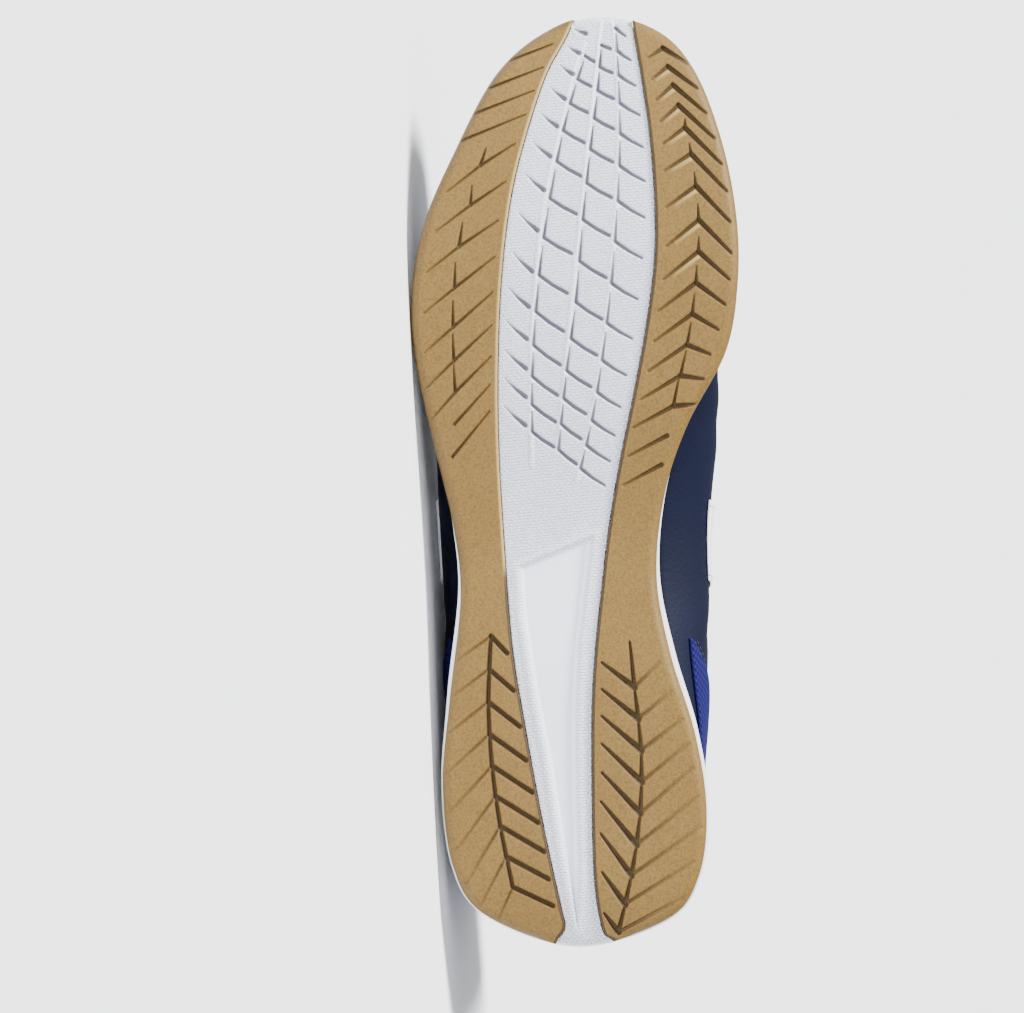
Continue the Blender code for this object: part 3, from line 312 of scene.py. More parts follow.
COLUMN_3 = table(Cell, (
    (0, 0.987, -0.102, 0.978, -0.133), (2, 0.935, -0.112, 0.923, -0.165), (4, 0.871, -0.119, 0.856, -0.189),
    (6, 0.798, -0.114, 0.78, -0.196), (8, 0.71, -0.095, 0.693, -0.175), (10, 0.628, -0.067, 0.612, -0.14),
    (12, 0.564, -0.036, 0.548, -0.105), (14, 0.513, -0.001, 0.495, -0.074),
))

RIDGES = (
    table(Edge, (
        (0.969, -0.011), (0.947, 0.017), (0.898, 0.049), (0.844, 0.083), (0.783, 0.115), (0.687, 0.139),
        (0.613, 0.148), (0.515, 0.146),
    )),
    table(Edge, (
        (0.996, -0.06), (0.974, -0.053), (0.918, -0.039), (0.854, -0.021), (0.788, -0.004), (0.689, 0.024),
        (0.616, 0.045), (0.533, 0.066),
    )),
    table(Edge, (
        (0.996, -0.091), (0.974, -0.102), (0.923, -0.112), (0.864, -0.116), (0.795, -0.112),
        (0.745, -0.102), (0.667, -0.081), (0.594, -0.05), (0.537, -0.018), (0.5, 0.01),
    )),
)

TONGUE = table(TongueRow, (
    (0.327, 16.5, 3.8), (0.345, 22.5, 4.2), (0.38, 25.0, 4.2), (0.47, 24.0, 4.2), (0.6, 19.0, 3.4),
    (0.728, 15.5, 2.3),
))


def columns(rows: Sequence[NamedTuple], *names: str) -> tuple[np.ndarray, ...]:
    """The named columns of a table.

    Args:
        rows: The table.
        names: The columns' names.

    Returns:
        One array for each name.
    """
    return tuple(np.array([getattr(row, name) for row in rows], float) for name in names)


def smooth(keys: np.ndarray, values: np.ndarray, place: np.ndarray | float) -> np.ndarray:
    """A cubic through values with slopes from their neighbours, flat outside.

    Args:
        keys: Where the values are, rising.
        values: The values.
        place: Where to read.

    Returns:
        The values at those places.
    """
    last = len(keys) - 1
    number = np.arange(last + 1)
    low, high = np.maximum(number - 1, 0), np.minimum(number + 1, last)
    slope = (values[high] - values[low]) / (keys[high] - keys[low])
    i = np.clip(np.searchsorted(keys, place, side="right") - 1, 0, last - 1)
    span = keys[i + 1] - keys[i]
    t = np.clip((place - keys[i]) / span, 0, 1)
    return (
        values[i] * (2 * t**3 - 3 * t**2 + 1)
        + slope[i] * span * (t**3 - 2 * t**2 + t)
        + values[i + 1] * (3 * t**2 - 2 * t**3)
        + slope[i + 1] * span * (t**3 - t**2)
    )


def read(rows: Sequence[NamedTuple], name: str, along: np.ndarray | float) -> np.ndarray:
    """A table's column at places along the shoe, smooth between its rows."""
    keys, values = columns(rows, "along", name)
    return smooth(keys, values, along)


def spline(points: np.ndarray, closed: bool, steps: int) -> np.ndarray:
    """A dense smooth line through plan points.

    Args:
        points: The points, one a row.
        closed: Whether the line comes back to its start.
        steps: Points for each span.

    Returns:
        The line's points.
    """
    count = len(points)
    spans = count if closed else count - 1
    line = []
    share = (np.arange(steps) / steps)[:, None]
    for i in range(spans):
        if closed:
            p0, p1, p2, p3 = (points[(i + k) % count] for k in (-1, 0, 1, 2))
        else:
            p0, p1, p2, p3 = (points[min(max(i + k, 0), count - 1)] for k in (-1, 0, 1, 2))
        a = p1 * 2 + (p2 - p0) * share
        b = (p0 * 2 - p1 * 5 + p2 * 4 - p3) * share**2
        c = (p1 * 3 - p0 - p2 * 3 + p3) * share**3
        line.append((a + b + c) / 2)
    if not closed:
        line.append(points[-1:])
    return np.vstack(line)


def plan(rows: Sequence[Edge], width: float = BALL_WIDTH) -> np.ndarray:
    """Edge rows as plan points in metres."""
    along, across = columns(rows, "along", "across")
    return np.stack((across * width, along * SOLE_LENGTH), 1)


def lengths(line: np.ndarray) -> np.ndarray:
    """The length from a line's start to each of its points."""
    steps = np.linalg.norm(np.diff(line, axis=0), axis=1)
    return np.concatenate(([0.0], np.cumsum(steps)))


def resample(line: np.ndarray, shares: np.ndarray) -> np.ndarray:
    """Points at shares of a line's length."""
    run = lengths(line)
    return np.stack([np.interp(shares * run[-1], run, line[:, k]) for k in range(line.shape[1])], 1)


def unit(vectors: np.ndarray, least: float = 1e-12) -> np.ndarray:
    """Vectors made 1 long, save those shorter than the least length."""
    return vectors / np.maximum(np.linalg.norm(vectors, axis=-1, keepdims=True), least)


def directions(line: np.ndarray) -> np.ndarray:
    """The unit direction of a line at each of its points."""
    return unit(np.gradient(line, axis=0))


def shifted(line: np.ndarray, offset: float) -> np.ndarray:
    """A plan line moved to its left."""
    ahead = directions(line)
    return line + np.stack((-ahead[:, 1], ahead[:, 0]), 1) * offset


def step_up(value: np.ndarray, low: float, high: float) -> np.ndarray:
    """Rises smoothly from 0 at low to 1 at high."""
    t = np.clip((value - low) / (high - low), 0, 1)
    return t * t * (3 - 2 * t)


def halved(past: Callable, low: np.ndarray, high: np.ndarray, times: int) -> np.ndarray:
    """Closes in on where a test turns true.

    Args:
        past: The test, which takes places.
        low: Places before the turn.
        high: Places after it.
        times: How often to halve.

    Returns:
        Places just before the turn.
    """
    for _ in range(times):
        middle = (low + high) / 2
        found = past(middle)
        low, high = np.where(found, low, middle), np.where(found, middle, high)
    return low


def ground(along: np.ndarray) -> np.ndarray:
    """The tread's height: bevelled heel, flats, arch and toe spring."""
    heel = np.clip((HEEL_FLAT_START - along) / HEEL_FLAT_START, 0, 2)
    arch = np.clip((along - HEEL_FLAT_END) / (FOREFOOT_FLAT_START - HEEL_FLAT_END), 0, 1)
    toe = np.clip((along - THROAT_FRONT) / (1 - THROAT_FRONT), 0, 2)
    return HEEL_BEVEL * heel**2 + ARCH_LIFT * np.sin(np.pi * arch) ** 2 + TOE_SPRING * toe**2


def edge_height(along: np.ndarray) -> np.ndarray:
    """The height of the midsole's top edge."""
    return ground(along) + read(STACKS, "stack", along) * HEEL_STACK


def crest(along: np.ndarray) -> np.ndarray:
    """The height of the upper's ridge, as if the throat were closed."""
    return read(SECTIONS, "crest", along) * INSTEP_HEIGHT


OUTLINE_LINE = spline(
    np.array([(row.across * row.width, row.along * SOLE_LENGTH) for row in OUTLINE]), True, 24
)


class Outline:
    """The sole's outline as a closed line that can be crossed and cut."""

    def __init__(self, line: np.ndarray) -> None:
        """Keeps the line and its lengths."""
        self.line = np.vstack((line, line[:1]))
        self.run = lengths(self.line)

    def clip(self, line: np.ndarray) -> tuple[np.ndarray, float, float]:
        """Cuts a line that starts and ends outside.

        Args:
            line: Plan points.

        Returns:
            What lies inside, and the outline's lengths where it enters and leaves.
        """
        a, b = self.line[:-1], self.line[1:]
        found = []
        for i, (p, q) in enumerate(zip(line, line[1:])):
            r, s = q - p, b - a
            cross = r[0] * s[:, 1] - r[1] * s[:, 0]
            w = a - p
            t = (w[:, 0] * s[:, 1] - w[:, 1] * s[:, 0]) / cross
            u = (w[:, 0] * r[1] - w[:, 1] * r[0]) / cross
            for k in np.nonzero((t >= 0) & (t < 1) & (u >= 0) & (u < 1))[0]:
                place = self.run[k] + u[k] * np.linalg.norm(s[k])
                found.append((i + t[k], p + r * t[k], place))
        found.sort(key=lambda item: item[0])
        first, last = found[0], found[-1]
        middle = [line[i] for i in range(len(line)) if first[0] < i < last[0]]
        return np.vstack((first[1], *middle, last[1])), first[2], last[2]

    def span(self, start: float, end: float, shares: np.ndarray) -> np.ndarray:
        """Points between two lengths of the outline, backwards where end is less."""
        run = (start + (end - start) * shares) % self.run[-1]
        return np.stack([np.interp(run, self.run, self.line[:, k]) for k in range(2)], 1)


@dataclass
class Ribs:
    """Vertical planes that hold the upper's sections, all arrays as columns."""

    spine_x: np.ndarray
    spine_y: np.ndarray
    way_x: np.ndarray
    way_y: np.ndarray
    reach: np.ndarray = field(init=False)
    slant: np.ndarray = field(init=False)

    def __post_init__(self) -> None:
        """Finds how far the outline lies on each rib, and the slant to it."""
        reaches, slants = [], []
        a = OUTLINE_LINE
        b = np.roll(a, -1, axis=0)
        for x, y, wx, wy in zip(self.spine_x, self.spine_y, self.way_x, self.way_y):
            side = np.array((-wy[0], wx[0]))
            way = np.array((wx[0], wy[0]))
            spine = np.array((x[0], y[0]))
            da, db = (a - spine) @ side, (b - spine) @ side
            hit = (da * db <= 0) & (da != db)
            share = np.where(hit, da / np.where(da == db, 1, da - db), 0)
            distance = np.where(hit, ((a + (b - a) * share[:, None]) - spine) @ way, -1)
            k = int(np.argmax(distance))
            reaches.append(distance[k])
            step = (b[k] - a[k]) / np.linalg.norm(b[k] - a[k])
            slants.append(1 / max(abs(step @ side), 0.5))
        self.reach = np.array(reaches)[:, None]
        self.slant = np.array(slants)[:, None]

    def inside(self, step: np.ndarray | float) -> np.ndarray:
        """How far out a line lies that runs a step inside the outline."""
        return self.reach - step * self.slant

    def along(self, distance: np.ndarray) -> np.ndarray:
        """The share of SOLE_LENGTH at a distance from the spine."""
        return (self.spine_y + self.way_y * distance) / SOLE_LENGTH

    def at(self, distance: np.ndarray, height: np.ndarray) -> np.ndarray:
        """Points at distances from the spine and heights."""
        distance, height = np.broadcast_arrays(distance, height)
        x = self.spine_x + self.way_x * distance
        return np.stack((x, self.spine_y + self.way_y * distance, height), -1)

    def flare(self) -> np.ndarray:
        """How far the midsole's side stands outside the outline."""
        return read(STACKS, "flare", self.along(self.reach)) * MIDSOLE_FLARE

    def widest(self) -> np.ndarray:
        """How far out the upper bulges."""
        along = self.along(self.reach)
        outer = (1 + self.way_x) / 2
        overhang = read(SECTIONS, "outer_overhang", along) * outer
        overhang += read(SECTIONS, "inner_overhang", along) * (1 - outer)
        return self.inside(-overhang * BALL_WIDTH)

    def upper(self, t: np.ndarray) -> np.ndarray:
        """The upper's outer face: t is 0 at the sole, 1 at the widest, 2 at the ridge."""
        along = self.along(self.reach)
        wide = self.widest()
        low = self.inside(TUCK - self.flare())
        high = edge_height(along) + read(SECTIONS, "bulge", along) * INSTEP_HEIGHT
        base = edge_height(self.along(low)) + GAP
        foot = np.clip(1 - t, 0, 1)
        under_out = wide - (wide - low) * foot**2
        under_height = base + (high - base) * np.clip(t, 0, 1)
        angle = np.clip(t - 1, 0, 1) * np.pi / 2
        power = 2 / read(SECTIONS, "roundness", along)
        out = wide * np.clip(np.cos(angle), 0, 1) ** power
        height = high + (crest(self.along(out)) - high) * np.sin(angle) ** power
        lower = t < 1
        return self.at(np.where(lower, under_out, out), np.where(lower, under_height, height))

    def is_cut(self, t: np.ndarray) -> np.ndarray:
        """Whether the throat or the collar has cut the upper away at t."""
        spot = self.upper(t)
        along = spot[..., 1] / SOLE_LENGTH
        top = read(TOPLINES, "value", along) * COLLAR_HEIGHT
        collar = (along < TOPLINES[-1].along) & (spot[..., 2] > top)
        half = read(THROATS, "value", along) * THROAT_WIDTH
        throat = (along > THROATS[0].along) & (along < THROAT_FRONT)
        return collar | (throat & (np.abs(spot[..., 0] - self.spine_x) < half))

    def last_t(self) -> np.ndarray:
        """Where the upper ends on each rib: at its opening, or at the ridge."""
        low, high = np.ones_like(self.reach), np.full_like(self.reach, 2.0)
        whole = ~self.is_cut(high - 1e-6)
        return np.where(whole, 2.0, halved(self.is_cut, low, high, 30))

    def t_at(self, height: np.ndarray) -> np.ndarray:
        """The t where the upper's face has a height."""
        low = np.zeros(np.broadcast_shapes(self.reach.shape, height.shape))
        return halved(lambda t: self.upper(t)[..., 2] > height, low, np.full_like(low, 1.999), 26)


def ribs_at(along: np.ndarray, angle: np.ndarray) -> Ribs:
    """The ribs from the spine at places, with their directions' angles in plan."""
    along, angle = np.broadcast_arrays(np.asarray(along, float), np.asarray(angle, float))
    x = read(STACKS, "spine", along) * BALL_WIDTH
    parts = (x, along * SOLE_LENGTH, np.cos(angle), np.sin(angle))
    return Ribs(*(part.reshape(-1, 1) for part in parts))


def all_ribs(side_steps: int, fan_steps: int) -> Ribs:
    """Every rib, counter-clockwise from above, from the outer side of the heel.

    Args:
        side_steps: Spans along each side.
        fan_steps: Spans around the toe, and around the heel.

    Returns:
        The ribs.
    """
    places = np.linspace(HEEL_CENTRE, TOE_CENTRE, side_steps + 1)
    fan = np.arange(1, fan_steps) / fan_steps * np.pi
    along = [places, np.full(fan_steps - 1, TOE_CENTRE), places[::-1]]
    along.append(np.full(fan_steps - 1, HEEL_CENTRE))
    angle = [np.zeros(side_steps + 1), fan, np.full(side_steps + 1, np.pi), np.pi + fan]
    return ribs_at(np.concatenate(along), np.concatenate(angle))


class Body(Enum):
    """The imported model's bodies."""

    ROOT = "root"


class Slot(Enum):
    """The record's material slots."""

    GUM = "gum_rubber"
    WHITE_RUBBER = "white_rubber"
    FOAM = "white_foam"
    LINING = "navy_fabric"
    NAVY = "navy_synthetic"
    WHITE = "white_synthetic"
    BLUE = "blue_mesh"
    LACE = "white_lace"


def linear(red: float, green: float, blue: float) -> tuple[float, float, float, float]:
    """A colour given from 0 to 255 as a shader takes it."""
    shares = (value / 255 for value in (red, green, blue))
    parts = [x / 12.92 if x <= 0.04045 else ((x + 0.055) / 1.055) ** 2.4 for x in shares]
    return (*parts, 1.0)


def feed(tree: bpy.types.NodeTree, socket: bpy.types.NodeSocket, value: object) -> None:
    """Links a socket to an output, or sets it."""
    if isinstance(value, bpy.types.NodeSocket):
        tree.links.new(value, socket)
    else:
        socket.default_value = value


def add_node(
    tree: bpy.types.NodeTree, kind: str, settings: dict | None = None, feeds: dict | None = None
) -> bpy.types.Node:
    """Adds a node.

    Args:
        tree: Where it goes.
        kind: Its type.
        settings: Its own values by name.
        feeds: What goes into its sockets, by name or number.

    Returns:
        The node.
    """
    made = tree.nodes.new(kind)
    for name, value in (settings or {}).items():
        setattr(made, name, value)
    for name, value in (feeds or {}).items():
        feed(tree, made.inputs[name], value)
    return made


class Finish:
    """A node material while it is being made."""

    def __init__(self, name: str, roughness: float) -> None:
        """Starts a material with one shader."""
        self.material = bpy.data.materials.new(name)
        self.material.use_nodes = True
        self.tree = self.material.node_tree
        self.shader = self.tree.nodes["Principled BSDF"]
        self.shader.inputs["Roughness"].default_value = roughness
        self.place = self.node("TexCoord").outputs["Object"]

    def node(self, kind: str, settings: dict | None = None, feeds: dict | None = None) -> bpy.types.Node:
        """Adds a shader node of a kind, with its settings and feeds."""
        return add_node(self.tree, "ShaderNode" + kind, settings, feeds)

    def sum(self, operation: str, first: object, second: object = 0.0) -> bpy.types.NodeSocket:
        """The output of one step of arithmetic."""
        return self.node("Math", {"operation": operation}, {0: first, 1: second}).outputs[0]

    def between(self, value: object, low: float, high: float) -> bpy.types.NodeSocket:
        """A smooth rise from 0 at low to 1 at high."""
        feeds = {"Value": value, "From Min": low, "From Max": high}
        return self.node("MapRange", {"interpolation_type": "SMOOTHSTEP"}, feeds).outputs[0]

    def blend(self, share: object, first: object, second: object) -> bpy.types.NodeSocket:
        """Two colours mixed by a share."""
        made = self.node("Mix", {"data_type": "RGBA"}, {0: share, 6: first, 7: second})
        return made.outputs[2]

    def noise(self, scale: float, detail: float = 2.0, place: object = None) -> bpy.types.NodeSocket:
        """Soft noise over the piece's own place; scale is in waves a metre."""
        feeds = {"Vector": place or self.place, "Scale": scale, "Detail": detail}
        return self.node("TexNoise", None, feeds).outputs[0]

    def attribute(self, name: str) -> bpy.types.NodeSocket:
        """A number kept on the piece's points."""
        return self.node("Attribute", {"attribute_name": name}).outputs["Fac"]

    def weave(self, scale: float) -> bpy.types.NodeSocket:
        """Threads over and under, on the piece's own map; scale in threads a centimetre."""
        face = self.node("UVMap", {"uv_map": "face"}).outputs[0]
        parts = self.node("SeparateXYZ", None, {0: face})
        across = self.sum("SINE", self.sum("MULTIPLY", parts.outputs[0], scale * math.pi))
        along = self.sum("SINE", self.sum("MULTIPLY", parts.outputs[1], scale * math.pi))
        return self.sum("MULTIPLY", across, along)

    def bump(self, height: object, distance: float, strength: float = 1.0, under: object = None) -> object:
        """A bump's normal; distance in metres."""
        feeds = {"Height": height, "Distance": distance, "Strength": strength}
        if under is not None:
            feeds["Normal"] = under
        return self.node("Bump", None, feeds).outputs[0]

    def done(self, colour: object, normal: object = None, **values: float) -> bpy.types.Material:
        """Sets the shader's sockets.

        Args:
            colour: Its base colour.
            normal: Its normal.
            values: Its other sockets, with _ for a space.

        Returns:
            The material.
        """
        feed(self.tree, self.shader.inputs["Base Color"], colour)
        if normal is not None:
            feed(self.tree, self.shader.inputs["Normal"], normal)
        for name, value in values.items():
            self.shader.inputs[name.replace("_", " ")].default_value = value
        return self.material


@dataclass(frozen=True)
class GumRubber:
    """Tan rubber with a fine sand grain, with painted shade in its grooves and along its edges, and painted
    highlights on its lips and inner edge.
    """

    lit: tuple = (113, 87, 38)
    # deep: painted shade, for the grooves, the inner edge lines and the outer rim
    deep: tuple = (40, 26, 8)
    warm: tuple = (104, 79, 32)
    sand: tuple = (83, 60, 22)
    speck: tuple = (150, 121, 64)
    # crest: painted highlight, for the raised lips and the lit inner edge line
    crest: tuple = (187, 158, 100)
    grain: float = 2300.0
    roughness: float = 0.55

    def material(self) -> bpy.types.Material:
        """Makes the finish."""
        made = Finish("gum_rubber", self.roughness)
        cloud = made.between(made.noise(55.0), 0.3, 0.7)
        dust = made.between(made.noise(self.grain * 0.8, 3.0), 0.5, 0.68)
        warm = made.blend(made.sum("MULTIPLY", cloud, 0.4), linear(*self.lit), linear(*self.warm))
        shade = made.between(made.noise(self.grain * 0.5, 3.0), 0.34, 0.6)
        sand = made.blend(made.sum("ADD", made.sum("MULTIPLY", shade, 0.5), 0.5), linear(*self.sand), warm)
        speck = made.blend(made.sum("MULTIPLY", dust, 0.22), sand, linear(*self.speck))
        # painted highlight: the crest mark lightens the rubber towards crest
        raised = made.blend(made.sum("MULTIPLY", made.attribute("crest"), 0.6), speck, linear(*self.crest))
        # painted shade: the groove mark darkens the rubber towards deep
        groove = made.between(made.attribute("groove"), 0.12, 0.7)
        colour = made.blend(made.sum("MULTIPLY", groove, 0.8), raised, linear(*self.deep))
        grain = made.bump(made.noise(self.grain, 3.0), 0.0002, 0.6)
        normal = made.bump(made.sum("SUBTRACT", 1.0, groove), 0.0005, 0.6, grain)
        return made.done(colour, normal, Specular_IOR_Level=0.28)


@dataclass(frozen=True)
class WhiteRubber:
    """Cool white rubber with a fine linen of short dashes between its grooves, with painted shade in the
    grooves and painted highlights on the ridges and the recess's bank.
    """

    lit: tuple = (228, 231, 242)
    # deep: painted shade for the grooves
    deep: tuple = (84, 86, 100)
    # crest: painted highlight for the ridges and the recess's bank
    crest: tuple = (240, 243, 250)
    thread: tuple = (150, 153, 166)
    roughness: float = 0.5

    def material(self) -> bpy.types.Material:
        """Makes the finish."""
        made = Finish("white_rubber", self.roughness)
        groove = made.between(made.attribute("groove"), 0.15, 0.85)
        # painted highlight from the crest mark, then painted shade from the groove mark
        plain = made.blend(made.attribute("crest"), linear(*self.lit), linear(*self.crest))
        colour = made.blend(made.sum("MULTIPLY", groove, 0.95), plain, linear(*self.deep))
        face = made.node("UVMap", {"uv_map": "face"}).outputs[0]
        turned = made.node("Mapping", None, {"Vector": face, "Rotation": (0.0, 0.0, 0.09)}).outputs[0]
        settings = {"offset": 0.5, "offset_frequency": 2, "squash": 1.0}
        feeds = {"Vector": turned, "Scale": 1.0, "Mortar Size": 0.022, "Mortar Smooth": 1.0}
        feeds |= {"Brick Width": 0.17, "Row Height": 0.095}
        dashes = made.node("TexBrick", settings, feeds).outputs["Fac"]
        linen = made.attribute("linen")
        pebble = made.between(made.noise(1500.0, 1.0), 0.35, 0.7)
        height = made.sum("MULTIPLY", made.sum("ADD", dashes, made.sum("MULTIPLY", pebble, 0.5)), linen)
        base = made.bump(made.noise(3000.0), 0.00004, 0.4)
        thread = made.sum("MULTIPLY", made.sum("SUBTRACT", 1.0, dashes), made.sum("MULTIPLY", linen, 0.30))
        colour = made.blend(thread, colour, linear(*self.thread))
        return made.done(colour, made.bump(height, 0.00034, 1.0, base), Coat_Weight=0.04)


@dataclass(frozen=True)
class Foam:
    """White moulded foam with a faint skin."""

    first: tuple = (236, 237, 241)
    second: tuple = (228, 229, 234)
    roughness: float = 0.6

    def material(self) -> bpy.types.Material:
        """Makes the finish."""
        made = Finish("white_foam", self.roughness)
        cloud = made.between(made.noise(40.0), 0.3, 0.7)
        colour = made.blend(cloud, linear(*self.first), linear(*self.second))
        return made.done(colour, made.bump(made.noise(1800.0, 3.0), 0.00008, 0.5))


@dataclass(frozen=True)
class Synthetic:
    """A coated synthetic with a fine leather grain."""

    name: str
    first: tuple
    second: tuple
    roughness: float = 0.5
    grain: float = 900.0
    depth: float = 0.00012

    def material(self) -> bpy.types.Material:
        """Makes the finish."""
        made = Finish(self.name, self.roughness)
        cloud = made.between(made.noise(30.0, 4.0), 0.3, 0.7)
        colour = made.blend(cloud, linear(*self.first), linear(*self.second))
        feeds = {"Vector": made.place, "Scale": self.grain}
        cells = made.node("TexVoronoi", {"feature": "SMOOTH_F1"}, feeds).outputs["Distance"]
        fine = made.bump(made.noise(self.grain * 3, 2.0), self.depth * 0.4, 0.6)
        return made.done(colour, made.bump(cells, self.depth, 0.7, fine), Specular_IOR_Level=0.1)


@dataclass(frozen=True)
class Cloth:
    """A woven or knitted cloth on the piece's own map."""

    name: str
    first: tuple
    second: tuple
    threads: float
    depth: float = 0.0003
    sheen: float = 0.12
    roughness: float = 0.85

    def material(self) -> bpy.types.Material:
        """Makes the finish."""
        made = Finish(self.name, self.roughness)
        threads = made.weave(self.threads)
        lift = made.between(threads, -0.8, 0.8)
        colour = made.blend(lift, linear(*self.second), linear(*self.first))
        fuzz = made.bump(made.noise(2600.0, 2.0), 0.0001, 0.5)
        normal = made.bump(lift, self.depth, 0.8, fuzz)
        return made.done(colour, normal, Sheen_Weight=self.sheen, Specular_IOR_Level=0.2)


class Palette:
    """Every finish of the shoe, made once."""

    def __init__(self) -> None:
        """Makes the materials."""
        self.gum = GumRubber().material()
        self.white_rubber = WhiteRubber().material()
        self.foam = Foam().material()
        self.navy = Synthetic("navy_synthetic", (14, 18, 38), (11, 15, 32), 0.6).material()
        self.eyestay = Synthetic("navy_eyestay", (13, 16, 34), (10, 13, 29), 0.65, 1300.0, 0.00008).material()
        self.white = Synthetic("white_synthetic", (243, 245, 250), (238, 240, 246), 0.38, 1100.0).material()
        self.blue = Cloth("blue_mesh", (17, 9, 98), (6, 3, 40), 9.0, 0.0004, 0.0).material()
        self.lining = Cloth("navy_fabric", (32, 39, 68), (17, 21, 40), 14.0).material()
        self.insole = Cloth("navy_insole", (38, 45, 76), (23, 28, 50), 11.0).material()
        self.lace = Cloth("white_lace", (242, 243, 247), (206, 208, 216), 16.0, 0.0003).material()
        self.thread = Cloth("navy_thread", (52, 62, 102), (34, 42, 74), 40.0, 0.00005).material()
        self.white_thread = Cloth("white_thread", (224, 226, 232), (190, 192, 200), 40.0, 0.00005).material()


def build_mesh(
    name: str, points: np.ndarray, faces: list, face_map: np.ndarray, marks: dict
) -> bpy.types.Mesh:
    """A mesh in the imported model's frame.

    Args:
        name: The mesh's name.
        points: Its points in shoe axes.
        faces: Point numbers of each face.
        face_map: A pair for each point, for the map named face.
        marks: Numbers for each point, by attribute name.

    Returns:
        The mesh, turned so that a closed one's faces look outwards.
    """
    turn = np.array(SHOE_TO_FRAME)
    placed = points @ turn[:3, :3].T + turn[:3, 3]
    mesh = bpy.data.meshes.new(name)
    mesh.from_pydata(placed.tolist(), [], faces)
    mesh.update()
    for key, values in marks.items():
        mesh.attributes.new(key, "FLOAT", "POINT").data.foreach_set("value", values.astype(np.float32))
    layer = mesh.uv_layers.new(name="face")
    corner = np.zeros(len(mesh.loops), np.int32)
    mesh.loops.foreach_get("vertex_index", corner)
    layer.data.foreach_set("uv", face_map[corner].astype(np.float32).ravel())
    bm = bmesh.new()
    bm.from_mesh(mesh)
    bmesh.ops.remove_doubles(bm, verts=bm.verts, dist=WELD)
    bmesh.ops.triangulate(bm, faces=[face for face in bm.faces if len(face.verts) > 4])
    if bm.calc_volume(signed=True) < 0:
        bmesh.ops.reverse_faces(bm, faces=bm.faces)
    bm.to_mesh(mesh)
    bm.free()
    mesh.shade_smooth()
    return mesh


def placed(name: str, data: bpy.types.ID | None) -> bpy.types.Object:
    """A new object in the scene."""
    item = bpy.data.objects.new(name, data)
    bpy.context.scene.collection.objects.link(item)
    return item


def finished(item: bpy.types.Object, slot: Slot, *nodes: str) -> bpy.types.Object:
    """Says what a piece rides on and the nodes that it stands for, and reports it."""
    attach(item, Body.ROOT.value)
    LOG.info("%s: %d faces", item.name, len(item.data.polygons))
    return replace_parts(item, *nodes) if nodes else item


def add_piece(
    name: str, mesh: bpy.types.Mesh, material: bpy.types.Material, slot: Slot, *nodes: str
) -> bpy.types.Object:
    """Adds a finished piece of one material."""
    mesh.materials.append(material)
    return finished(placed(name, mesh), slot, *nodes)


def baked(item: bpy.types.Object) -> None:
    """Turns a piece's modifiers into its plain mesh, shaded smooth."""
    graph = bpy.context.evaluated_depsgraph_get()
    mesh = bpy.data.meshes.new_from_object(
        item.evaluated_get(graph), preserve_all_data_layers=True, depsgraph=graph
    )
    item.modifiers.clear()
    item.data = mesh
    mesh.shade_smooth()


@dataclass(frozen=True)
class Stitch:
    """A stitch's sizes in millimetres."""

    pitch: float
    half_length: float
    half_width: float


FINE_STITCH = Stitch(2.4, 0.85, 0.22)
BOLD_STITCH = Stitch(2.6, 0.95, 0.26)
PAD_STITCH = Stitch(2.6, 0.9, 0.22)


